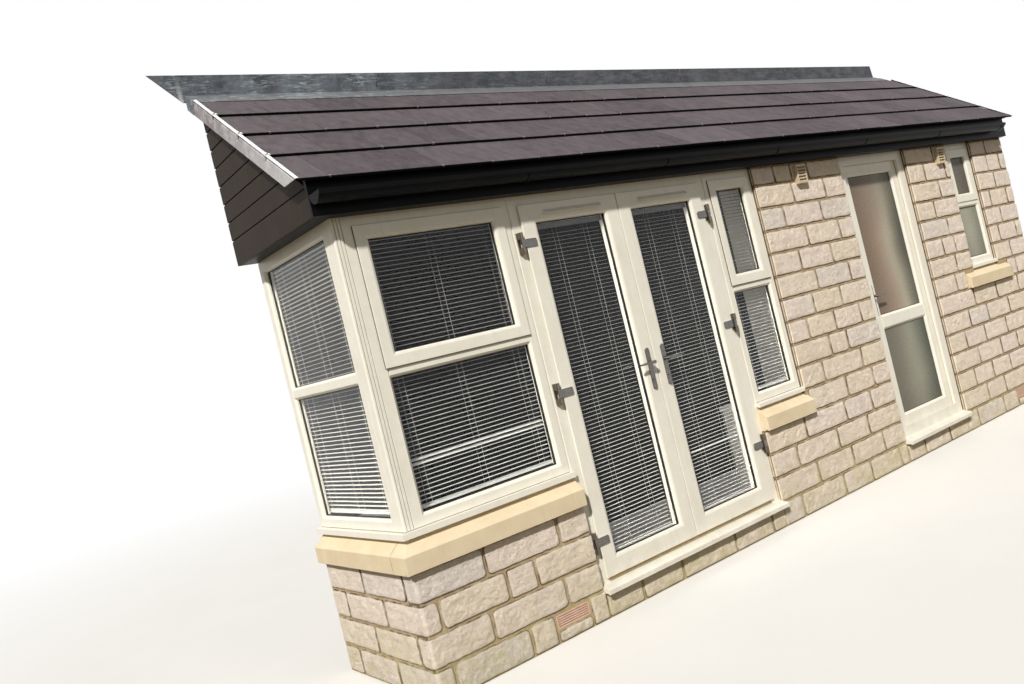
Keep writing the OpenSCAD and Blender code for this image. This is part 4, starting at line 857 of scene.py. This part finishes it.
# Rows of stones: the course's number and the joints along the outer face. A row under a
# sill or a threshold has its own top too, and the joints beside it that stay closed.
leftCourses = [
    (0, [-968, -787, -371, 88, 530, 686]),
    (0, [686, 917], 68),
    (0, [915, 1022]),
    (1, [-968, -535, -104, 340, 795, 1022]),
    (2, [-968, -792, -363, 85, 470, 645, 1022]),
    (3, [-968, -546, -104, 375, 830, 1022]),
    (0, [1022, 1285, 1595, 2050, 2400, 2532], 129, 1022, 2532),
]
middleCourses = [
    (0, [2532, 2722, 3178, 3500, 3870, 3972], 150, 3972),
    (1, [2532, 2945, 3335, 3715, 3972]),
    (2, [2532, 2780, 3225, 3585, 3972]),
    (3, [2532, 2920, 3370, 3685, 3972]),
    (4, [3024, 3450, 3775, 3972]),
    (5, [3002, 3240, 3695, 3972]),
    (6, [3002, 3380, 3580, 3972]),
    (7, [3002, 3190, 3495, 3805, 3972]),
    (8, [3002, 3310, 3630, 3972]),
    (9, [3002, 3410, 3800, 3972]),
    (10, [3002, 3280, 3645, 3972]),
    (11, [3002, 3420, 3800, 3972]),
    (12, [3002, 3225, 3640, 3972]),
    (13, [3002, 3375, 3740, 3972]),
    (14, [3002, 3215, 3400, 3590, 3972]),
    (0, [3972, 4200, 4560, 4864], 129, 3972, 4864),
]
shortReturn = wallLength + 104
longReturn = wallLength + 330
rightCourses = [
    (0, [4864, 5015, 5450, 5690]),
    (0, [5697, 5928], 68),
    (0, [5927, 6164, shortReturn]),
    (1, [4864, 5250, 5545, 5960, 6360, longReturn]),
    (2, [4864, 5110, 5410, 5710, 6164, shortReturn]),
    (3, [4864, 5250, 5630, 5920, 6360, longReturn]),
    (4, [4864, 5110, 5425, 5795, 6164, shortReturn]),
    (5, [4864, 5240, 5545, 5920, 6360, longReturn]),
    (6, [4864, 5390, 5770, 6164, shortReturn]),
    (7, [4864, 5170, 5338]),
    (7, [6052, 6210, longReturn]),
    (8, [4864, 5240, 5480]),
    (8, [5910, 6180, shortReturn]),
    (9, [4864, 5100, 5290, 5480]),
    (9, [5910, 6050, 6360, longReturn]),
    (10, [4864, 5250, 5480]),
    (10, [5910, 6160, shortReturn]),
    (11, [4864, 5110, 5480]),
    (11, [5910, 6040, 6340, longReturn]),
    (12, [4864, 5260, 5480]),
    (12, [5910, 6190, shortReturn]),
    (13, [4864, 5090, 5410, 5480]),
    (13, [5910, 6130, 6350, longReturn]),
    (14, [4864, 5270, 5480]),
    (14, [5910, 6150, shortReturn]),
]
openings = {1022, 2532, 3002, 3972, 4864, 5480, 5910}


def stoneParts(courses, number):
    # a stone between each two joints of each row, half a joint in from them; where a
    # row ends at an opening, its last stone runs on and turns into it
    shape = stoneShape
    parts = []
    gap, over = shape["joint"] / 2, 0.6
    for course, joints, *special in courses:
        bed = course * shape["course"] + gap if course else shape["ground"]
        usual = min((course + 1) * shape["course"], shape["head"])
        top, *closed = special or [usual]
        for start, end in zip(joints[:-1], joints[1:]):
            atStart = start in openings and start not in closed
            atEnd = end in openings and end not in closed
            low = start - over if atStart else start + gap
            high = end + over if atEnd else end - gap
            parts.append(pitchedStone(low, high, bed, top - gap, number, atStart, atEnd))
            number += 1
    return parts


endWall = {
    "courses": 21, "cutFrom": 14, "stone": 320, "stray": 45, "least": 40, "shortest": 60,
    "foot": 2397.7, "rise": 0.7265, "under": 3,     # the rafters' line at the corner
}


def endWallParts(number):
    # the end wall's stones behind the corner's quoins, in rows of even stones with
    # strayed joints, cut along the rafters' line: height = foot + rise * distance
    shape = endWall
    parts = []
    gap, step = stoneShape["joint"] / 2, float(stoneShape["course"])

    def slope(s):
        return shape["foot"] + shape["rise"] * (s - wallLength) - shape["under"]

    for course in range(shape["courses"]):
        base, top = course * step, course * step + step
        start = (longReturn if course % 2 else shortReturn) - wallLength
        if course > shape["cutFrom"]:
            start = max(6.0, (base + shape["least"] - shape["foot"]) / shape["rise"])
        if start > bayDepth - shape["shortest"]:
            continue
        pieces = max(1, round((bayDepth - start) / shape["stone"]))
        joints = np.linspace(start, bayDepth, pieces + 1)
        joints[1:-1] += [shape["stray"] * chance(number + k, 31) for k in range(pieces - 1)]
        bed = base + gap if course else stoneShape["ground"]
        cut = slope if course >= shape["cutFrom"] else None
        for left, right in zip(joints[:-1], joints[1:]):
            parts.append(pitchedStone(wallLength + left + gap, wallLength + right - gap,
                                      bed, top - gap, number, slope=cut))
            number += 1
    return parts


for name, parts in [("plinthStones", stoneParts(leftCourses, 0)),
                    ("middleStones", stoneParts(middleCourses, 100)),
                    ("pierStones", stoneParts(rightCourses, 200)),
                    ("endWallStones", endWallParts(400))]:
    addPiece(name, parts, "stone", smooth=True)

roofShape = {
    "originY": -99.3, "originZ": 2356.5, "length": 1313.0, "left": -148.0, "right": 6527.0,
    "gauge": 312.0, "tileLength": 420.0, "tileWidth": 295.0, "thick": 15.0, "lift": 20.19,
    "gap": 2.6, "jitter": 0.9, "slip": 1.6, "arris": 1.6,
    "joints": (10.0, 155.0),    # first joint of the even and of the odd courses
    "lapHalf": 2.2, "lapHeights": np.array([1.0, 7.0, 7.0, 1.0]),
}


def onSlope(x, s, t):
    # a place on the roof: s up the slope from its foot, t square to the slope
    y = roofShape["originY"] + s * math.cos(roofPitch) - t * math.sin(roofPitch)
    z = roofShape["originZ"] + s * math.sin(roofPitch) + t * math.cos(roofPitch)
    return np.stack(np.broadcast_arrays(x, y, z), -1)


def tileParts():
    # each tile is one outline of slope distance and height, carried across its width;
    # its nose is rounded, its tail goes under the course above, and its edges are
    # dropped by an arris. A side lap, a tongue below the open top, closes each joint
    shape, thick = roofShape, roofShape["thick"]
    parts = []
    for course in range(4):
        first = course * shape["gauge"]
        run = min(first + shape["tileLength"], shape["length"] - 8) - first
        along = np.array([0.0, 0.0, 1.2, 4.0, run / 3, run * 2 / 3, run, run, run / 2, 8.0])
        above = np.array([1.5, thick - 4, thick - 1.4, thick, thick, thick, thick, 0.5,
                          0.5, 0.0])
        ends = np.array([6.0, 6.0, run - 2, run - 2])
        lapTop = shape["lift"] * (1 - ends / shape["tileLength"]) + shape["lapHeights"]
        joints = shape["joints"][course % 2] + shape["tileWidth"] * np.arange(-1, 24)
        joints = joints[(joints > shape["left"] + 30) & (joints < shape["right"] - 30)]
        joints = np.concatenate([[shape["left"]], joints, [shape["right"]]])
        last = len(joints) - 2
        for k, (left, right) in enumerate(zip(joints[:-1], joints[1:])):
            number = course * 40 + k
            low = left + (shape["gap"] / 2 if k else 0)
            high = right - (shape["gap"] / 2 if k < last else 0)
            tilt = shape["jitter"] * chance(number, 51)
            slip = shape["slip"] * chance(number, 52)
            fade = 1 - along / shape["tileLength"]
            rings = []
            for x, drop in [(low, shape["arris"]), (low + 1.8, 0), (high - 1.8, 0),
                            (high, shape["arris"])]:
                t = shape["lift"] * fade + np.where(above > thick / 2, above - drop, above)
                rings.append(onSlope(x, first + along + slip, t + tilt * fade))
            parts.append(loft(rings, chance(number, 53)))
            if k < last:
                lap = [onSlope(right + side * shape["lapHalf"], first + ends, lapTop)
                       for side in (-1, 1)]
                parts.append(loft(lap, chance(number, 53)))
    return parts


roofTiles = addPiece("roofTiles", tileParts(), "tile")
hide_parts("roof_tiles")

clipShape = {"width": 11.0, "drop": 8.0, "reach": 10.0, "leftOut": 0.1}


def clipParts():
    # a small metal clip over a joint's nose: a bent strip, down the nose and a little
    # way up the tile; only some joints show theirs
    shape, roof = clipShape, roofShape
    parts = []
    s = np.array([-2.2, -2.2, -1.0, shape["reach"], shape["reach"], -1.0])
    t = roof["lift"] + roof["thick"] + np.array([-shape["drop"], 0.8, 1.8, 1.4, 0.2, 0.2])
    for course in range(4):
        for k in range(22):
            if chance(course * 40 + k, 71) < shape["leftOut"]:
                continue
            x = roof["joints"][course % 2] + roof["tileWidth"] * k
            parts.append(loft([onSlope(x + side * shape["width"] / 2,
                                       course * roof["gauge"] + s, t) for side in (-1, 1)],
                              chance(k, 72)))
    return parts


addPiece("tileClips", clipParts(), "clip_plastic")

vergeShape = {
    "foot": -6.0, "head": 1186.0, "top": 39.19, "mirror": 6379.0,
    # outlines of the trim and of a clip's tab: place along the wall, height over the slope
    "outline": [(-152.0, -41.8), (-152.3, 19.5), (-150.6, 21.5), (-150.6, 26.5),
                (-153.2, 28.0), (-154.4, 31.5), (-154.0, 35.5), (-151.6, 38.6),
                (-148.0, 39.2), (-141.0, 39.2), (-140.2, 38.0), (-141.0, 36.6),
                (-147.9, 36.3), (-148.0, -41.8)],
    "tab": [(-156.2, 16.0), (-156.2, 46.0), (-152.0, 48.5), (-146.0, 46.0),
            (-146.0, 41.0), (-131.0, 40.6), (-131.0, 37.4), (-154.0, 37.0),
            (-154.6, 16.0), (-155.4, 14.0)],
    "clip": np.array([-15.0, 2.0]),     # a clip's ends, from its course's step
}


def vergeParts():
    # the outline carried up the slope, its foot cut level, and a clip with an upright
    # tab at each course's step; the right-hand trim is the left one mirrored
    shape = vergeShape
    x, t = np.array(shape["outline"]).T
    foot = shape["foot"] + (shape["top"] - t) / math.tan(roofPitch)
    pieces = [np.array([onSlope(x, foot, t), onSlope(x, shape["head"], t)])]
    x, t = np.array(shape["tab"]).T
    for course in range(1, 4):
        ends = course * roofShape["gauge"] + shape["clip"]
        pieces.append(np.array([onSlope(x, s, t) for s in ends]))
    parts = []
    for rings in pieces:
        mirrored = rings.copy()
        mirrored[:, :, 0] = shape["mirror"] - rings[:, :, 0]
        parts += [loft(rings), loft(mirrored)]
    return parts


vergeTrim = addPiece("vergeTrim", vergeParts(), "verge_plastic")
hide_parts("verges")

leadShape = {
    "laps": [1000.0, 2330.0, 3700.0, 5050.0], "wallFront": 963.0, "top": 3262.0,
    "foot": 3178.0, "skew": 18.0, "apron": 1190.0, "slant": 0.25, "over": 3.4,
    "welt": [(0, 0), (0.6, -1.9), (2.2, -2.8), (4.6, -2.2), (5.0, 0), (2.5, 0.6)],
}


def lapParts():
    # the edge of each sheet where it laps over the next: a welt's outline carried down
    # the wall, and on down the apron over the top tiles
    shape, roof = leadShape, roofShape
    across, out = np.array(shape["welt"]).T
    s = np.linspace(shape["apron"] + 1, roof["length"] - 4, 4)
    tail = s - 3 * roof["gauge"]
    top = roof["thick"] + roof["lift"] * (1 - tail / roof["tileLength"]) + shape["over"]
    parts = []
    for x in shape["laps"]:
        wall = [(x + shape["skew"], shape["top"]), (x, shape["foot"])]
        parts.append(loft([upright(np.column_stack([px + across, shape["wallFront"] + out]),
                                   pz) for px, pz in wall]))
        parts.append(loft([onSlope(x - shape["slant"] * (roof["length"] - si) + across, si,
                                   ti - out) for si, ti in zip(s, top)]))
    return parts


addPiece("leadLaps", lapParts(), "lead", smooth=True)

blindShape = {
    "pitch": 21.3, "chord": 25.0, "doorChord": 15.0, "camber": 1.1, "thick": 0.5,
    "tilt": 0.3, "oddTilt": 26.0, "depth": 102, "base": 848, "top": 2226,
    "cord": 0.6, "ladder": 8.0,
    "rail": [(90.0, 838.0), (114.0, 853.0)],    # a bottom rail's depths and heights
}


def alongWall(place, depth, height, turned):
    # a point of the front wall, or of the return side
    return (depth, place, height) if turned else (place, depth, height)


def slatPart(start, end, depth, height, chord, tilt, turned, tone):
    # one slat: a shallow arch of depth and height, z = camber * (1 - (2 d / chord)^2),
    # tilted about its length and carried from start to end
    across = np.linspace(-0.5, 0.5, 6)
    arch = blindShape["camber"] * (chord / blindShape["chord"]) * (1 - (2 * across) ** 2)
    d = np.concatenate([across, across[::-1]]) * chord
    h = np.concatenate([arch, arch[::-1] - blindShape["thick"]])
    angle = math.radians(tilt)
    y = depth + d * math.cos(angle) - h * math.sin(angle)
    z = height + d * math.sin(angle) + h * math.cos(angle)
    rings = np.array([np.stack([np.full(len(d), x), y, z], -1) for x in (start, end)])
    return loft(swapped(rings, turned), tone)


def blindParts(start, end, depth, base, top, chord, cords, turned=False, odd=()):
    # a stack of slats between two heights, the odd ones tilted, and a pair of ladder
    # cords at each place
    shape = blindShape
    parts = []
    for k in range(int((top - base) / shape["pitch"])):
        height = base + 8 + k * shape["pitch"]
        tilt = shape["tilt"] + 0.4 * chance(k + start, 61)
        if any(abs(height - h) < shape["pitch"] / 2 for h in odd):
            tilt += shape["oddTilt"]
        parts.append(slatPart(start, end, depth, height, chord, tilt, turned,
                              0.4 * chance(k, 62)))
    for place in cords:
        for side in (-1, 1):
            y = depth + side * (chord / 2 + 0.6)
            x = place - side * shape["ladder"]
            parts.append(rod(alongWall(x, y, base, turned), alongWall(x, y, top, turned),
                             shape["cord"]))
    return parts


def windowBlinds(blinds, turned=False):
    # the blinds of one wall, each with its bottom rail
    shape = blindShape
    parts = []
    for start, end, cords, odd in blinds:
        parts += blindParts(start, end, shape["depth"], shape["base"], shape["top"],
                            shape["chord"], cords, turned, odd)
    for start, end, _, _ in blinds:
        (front, low), (back, high) = shape["rail"]
        parts.append(bar(alongWall(start, front, low, turned),
                         alongWall(end, back, high, turned), 2.0))
    return parts


# start and end of each window's blind, its cords, and heights where a slat hangs askew
addPiece("windowSlats", windowBlinds([(132, 966, [222, 556, 908], (1050, 1075)),
                                      (2590, 2966, [2660, 2880], ())]), "slat")
addPiece("returnSlats", windowBlinds([(132, 962, [250, 556, 880], ())], turned=True),
         "pale_slat")

leaves = {
    "left_door": {"slats": "leftSlats", "left": 1178.0, "right": 1674.0, "odd": ()},
    "right_door": {"slats": "rightSlats", "left": 1880.0, "right": 2376.0, "odd": (635,)},
}
leafBase, leafTop = 290.0, 2075.0
for body, leaf in leaves.items():
    left, right = leaf["left"], leaf["right"]
    parts = blindParts(left + 4, right - 22, 72.5, leafBase + 10, leafTop - 30,
                       blindShape["doorChord"], [left + 152, left + 372], odd=leaf["odd"])
    parts.append(bar((left + 3, 62, leafTop - 30), (right - 3, 81, leafTop - 4), 1.5))
    parts.append(bar((left + 3, 65, leafBase + 2), (right - 22, 80, leafBase + 10), 1.5))
    addPiece(leaf["slats"], parts, "slat", body)

sealShape = {
    # outlines as (in from the pane's edge, depth), of a bead from the front of the unit
    # and of half a spacer from either face
    "bead": [(-0.5, 0.15), (-0.5, -0.56), (1.44, -1.4), (2.88, -0.98), (3.6, 0.0),
             (1.8, 0.15)],
    "spacer": [(-0.4, 2.0), (3.0, 2.0), (4.0, 3.0)],
}
frameUnit, sashUnit = (43.2, 66.8), (37.2, 58.8)
leafUnit, backUnit = (29.2, 52.8), (66.2, 85.8)


def sealParts(left, right, base, top, unit, turned=False):
    # a rounded rubber bead in front of a pane, and the spacer inside the sealed unit
    front, back = unit
    bead = [(inset, front + d) for inset, d in sealShape["bead"]]
    half = sealShape["spacer"]
    spacer = ([(inset, front + d) for inset, d in half]
              + [(inset, back - d) for inset, d in half[::-1]])
    return [windowRing(left, right, base, top, section, turned)
            for section in (bead, spacer)]


housePanes = [
    (144, 953, 834, 1466, frameUnit), (192, 905, 1578, 2112, sashUnit),
    (140, 911, 834, 1466, frameUnit, True), (140, 911, 1530, 2160, frameUnit, True),
    (2599, 2945, 834, 1466, frameUnit), (2647, 2897, 1578, 2112, sashUnit),
    (5537, 5853, 1284, 1697, frameUnit), (5585, 5805, 1809, 2112, sashUnit),
]
backPanes = [(4138, 4700, 326, 946, backUnit), (4138, 4700, 1054, 2082, backUnit)]
# the strip between the garden doors rides on the left leaf and stops short of the other
meetingStrip = bar((1768.5, 19.0, 209.5), (1779.2, 24.0, 2159.5), 1.0)
for name, panes, more, body in [
        ("windowSeals", housePanes, [], "house_wing"),
        ("leftSeals", [(1178, 1674, 290, 2075, leafUnit)], [meetingStrip], "left_door"),
        ("rightSeals", [(1880, 2376, 290, 2075, leafUnit)], [], "right_door"),
        ("backSeals", backPanes, [], "back_door")]:
    seals = [part for pane in panes for part in sealParts(*pane)]
    addPiece(name, seals + more, "rubber", body)

sealantShape = {
    "width": 7, "depth": 5, "top": 2226,
    # a frame's edge, the side on which the bead lies, and its foot
    "beads": [(3002, 1, 750), (3972, -1, 175), (4864, 1, 175), (5480, -1, 1228),
              (5910, 1, 1228)],
}


def sealantParts():
    # a bead of sealant up each side where a frame meets the stone, a quarter of an oval
    shape = sealantShape
    parts = []
    angle = np.linspace(0, np.pi / 2, 5)
    for x, side, base in shape["beads"]:
        curve = np.stack([x - side * shape["width"] * np.cos(angle),
                          frameFace - shape["depth"] * np.sin(angle)], -1)
        outline = np.concatenate([curve, [[x - side * 0.2, frameFace + 0.3]]])
        parts.append(loft([upright(outline, z) for z in (base, shape["top"])]))
    return parts


addPiece("sealant", sealantParts(), "sealant")

gapShape = {
    # dark lines of painted shade in the gaps where two plastic parts meet: start, end and
    # radius of each
    "lines": [((23.0, 22.6, 777.0), (1010.0, 22.6, 777.0), 0.9),
              ((22.6, 23.0, 777.0), (22.6, 968.0, 777.0), 0.9),
              ((2542.0, 22.6, 777.0), (3002.0, 22.6, 777.0), 0.9),
              ((124.0, sashFace, 1508.4), (973.0, sashFace, 1508.4), 1.6),
              ((2580.0, sashFace, 1508.4), (2964.0, sashFace, 1508.4), 1.6)],
    # dark lines of painted shade in the corner post's grooves
    "post": {"places": (39.0, 56.0, 73.0), "depth": 26.2, "base": 780.0, "top": 2224.0},
    # thin dark bars of painted shade up each sash's side
    "sashes": [(123.0, 1510.0), (2578.0, 1510.0), (5516.0, 1741.0)],    # left edge, base
    "sashTop": 2180.0,
    # the joint between two cast sills: its two faces, and its outline across the sill
    "sillFaces": (100.2, 103.8),
    "sill": [(-40.2, 601.0), (-40.2, 681.8), (-37.2, 684.4), (18.0, 732.5), (18.0, 601.0)],
}


def gapParts():
    # dark round lines as painted shade along the gaps and the post's grooves, a thin dark
    # bar as painted shade up the side of each sash, and a slice of the sill's outline as the
    # joint between two sills
    shape, post = gapShape, gapShape["post"]
    parts = [rod(*line) for line in shape["lines"]]
    parts += [rod((x, post["depth"], post["base"]), (x, post["depth"], post["top"]), 0.8)
              for x in post["places"]]
    parts += [bar((x - 1.2, sashFace, base), (x - 0.1, frameFace, shape["sashTop"]), 0.3)
              for x, base in shape["sashes"]]
    x, z = np.array(shape["sill"]).T
    parts.append(loft([np.stack([x, np.full(len(x), y), z], -1)
                       for y in shape["sillFaces"]]))
    return parts


# the dark lines and bars are painted shade; the sill slice is a dark joint
addPiece("gapLines", gapParts(), "sealant")

patternShape = {
    "cell": 7.0, "thick": 1.2, "relief": 0.5, "grain": 16.0, "seat": 0.2,
    "panes": [(5537.0, 5853.0, 1284.0, 1697.0, 43.0), (5585.0, 5805.0, 1809.0, 2112.0, 37.0)],
}


def patternParts():
    # a thin patterned sheet over each small pane: depth = front - thick - relief * noise,
    # with its rim turned back to the pane
    shape = patternShape
    parts = []
    for left, right, base, top, front in shape["panes"]:
        x = np.linspace(left + 1, right - 1, int((right - left) / shape["cell"]))
        z = np.linspace(base + 1, top - 1, int((top - base) / shape["cell"]))
        x, z = np.meshgrid(x, z, indexing="ij")
        lumps = latticeNoise(x / shape["grain"], z / shape["grain"], 81)
        y = front - shape["thick"] - shape["relief"] * lumps
        y[[0, -1], :] = front - shape["seat"]
        y[:, [0, -1]] = front - shape["seat"]
        parts.append(closedBack(np.stack([x, y, z], -1), 0.0))
    return parts


addPiece("patternedPanes", patternParts(), "small_obscure", smooth=True)

studio = {
    "fill": 0.32, "fillColor": (0.93, 0.96, 1.0, 1.0), "sun": 4.2, "sunElevation": 38.5,
    "sunSide": 50.0, "sunSoftness": 2.5, "sunColor": (1.0, 0.975, 0.93),
    "floor": (232, 230, 226), "floorCloud": (224, 222, 218), "floorBounce": (124, 114, 92),
    "floorFade": (5.0, 11.0),
    # the dark board: its left, right, depth, foot and head
    "board": (-3.17, 3.10, 0.487, 0.17, 2.33), "boardColor": (0.004, 0.004, 0.004, 1.0),
}
white = (1.0, 1.0, 1.0, 1.0)


def plainMaterial(name):
    # a material with nothing in it but its output
    material = bpy.data.materials.new(name)
    material.use_nodes = True
    material.node_tree.nodes.clear()
    return material, Shading(material.node_tree)


def seenDirectly(sh):
    # 1 for the rays that look for a background: from the camera, off gloss, through glass
    paths = sh.add("LightPath")
    return sh.most(sh.most(paths["Is Camera Ray"], paths["Is Glossy Ray"]),
                   paths["Is Transmission Ray"])


def plainObject(name, points, faces, material):
    # an object of a few points, for the stage
    mesh = bpy.data.meshes.new(name)
    mesh.from_pydata(points, [], faces)
    mesh.materials.append(material)
    return linked(name, mesh)


def addFloor():
    # a disc of rings and spokes whose colour goes over to the background's white
    angle = np.linspace(0, 2 * np.pi, 96, endpoint=False)
    radius = np.array([0.02, 4.0, 12.0, 60.0, 400.0])
    points = np.stack([np.outer(radius, np.cos(angle)), np.outer(radius, np.sin(angle)),
                       np.zeros((len(radius), len(angle)))], -1).reshape(-1, 3)
    quads = gridFaces(len(radius), len(angle), closeColumns=True).tolist()
    material, sh = plainMaterial("floor")
    place = sh.place()
    cloud = sh.spread(sh.noise(place, 2.0, 3.0), 0.3, 0.7, 0.0, 0.25)
    color = sh.mix(cloud, studio["floor"], studio["floorCloud"])
    seen = seenDirectly(sh)
    matt = sh.add("BsdfDiffuse", {"Color": sh.mix(seen, studio["floorBounce"], color)})
    glow = sh.add("Emission", {"Color": white, "Strength": 1.0})
    away = sh.add("VectorMath", {0: place}, operation="LENGTH")["Value"]
    fade = sh.times(sh.spread(away, *studio["floorFade"]), seen)
    sh.add("OutputMaterial", {"Surface": sh.either(fade, matt[0], glow[0])})
    middle = [list(range(len(angle)))]
    floor = plainObject("floor", points.tolist(), quads + middle, material)


def addDarkRoom():
    # a board at the wing's open back that only rays through glass see: it stands for
    # the unlit room behind the windows, and every other ray passes it
    left, right, y, foot, head = studio["board"]
    material, sh = plainMaterial("darkRoom")
    throughGlass = sh.add("LightPath")["Is Transmission Ray"]
    black = sh.add("BsdfDiffuse", {"Color": studio["boardColor"]})[0]
    clear = sh.add("BsdfTransparent", {"Color": white})[0]
    sh.add("OutputMaterial", {"Surface": sh.either(throughGlass, clear, black)})
    corners = [(left, y, foot), (right, y, foot), (right, y, head), (left, y, head)]
    board = plainObject("darkRoom", corners, [(0, 1, 2, 3)], material)


def addWorld():
    # white where it is seen, and a plain fill light everywhere else
    world = bpy.data.worlds.new("studio")
    world.use_nodes = True
    world.node_tree.nodes.clear()
    sh = Shading(world.node_tree)
    fill = sh.add("Background", {"Color": studio["fillColor"], "Strength": studio["fill"]})
    plain = sh.add("Background", {"Color": white, "Strength": 1.0})
    sh.add("OutputWorld", {"Surface": sh.either(seenDirectly(sh), fill[0], plain[0])})
    bpy.context.scene.world = world


def addSun():
    # a soft key light from the front left, high enough to shade the wall's top
    light = bpy.data.lights.new("key", "SUN")
    light.energy = studio["sun"]
    light.angle = math.radians(studio["sunSoftness"])
    light.color = studio["sunColor"]
    linked("key", light).rotation_euler = (math.radians(90 - studio["sunElevation"]), 0,
                                           -math.radians(studio["sunSide"]))


view = {
    "place": (-4.9829, -4.0522, 1.4876), "yaw": 35.90, "pitch": 0.10, "roll": -13.69,
    "focalPixels": 880.97, "imageWidth": 1024.0, "sensor": 36.0,
}


def addCamera():
    # the photograph's viewpoint, solved from the wall's corners: yaw to the right of
    # the wall's normal, then roll about the line of sight
    yaw, pitch, roll = (math.radians(view[k]) for k in ("yaw", "pitch", "roll"))
    ahead = np.array([math.sin(yaw) * math.cos(pitch), math.cos(yaw) * math.cos(pitch),
                      math.sin(pitch)])
    right = np.array([math.cos(yaw), -math.sin(yaw), 0.0])
    up = np.cross(right, ahead)
    turnedRight = math.cos(roll) * right + math.sin(roll) * up
    turnedUp = -math.sin(roll) * right + math.cos(roll) * up
    camera = bpy.data.cameras.new("camera")
    camera.sensor_width = view["sensor"]
    camera.lens = view["focalPixels"] * view["sensor"] / view["imageWidth"]
    columns = np.eye(4)
    columns[:3, 0], columns[:3, 1], columns[:3, 2] = turnedRight, turnedUp, -ahead
    columns[:3, 3] = view["place"]
    stand = linked("camera", camera)
    stand.matrix_world = Matrix(columns.tolist())
    bpy.context.scene.camera = stand


addFloor()
addDarkRoom()
addWorld()
addSun()
addCamera()
bpy.context.scene.view_settings.view_transform = "Standard"
print("stage: floor, dark room, light and camera")
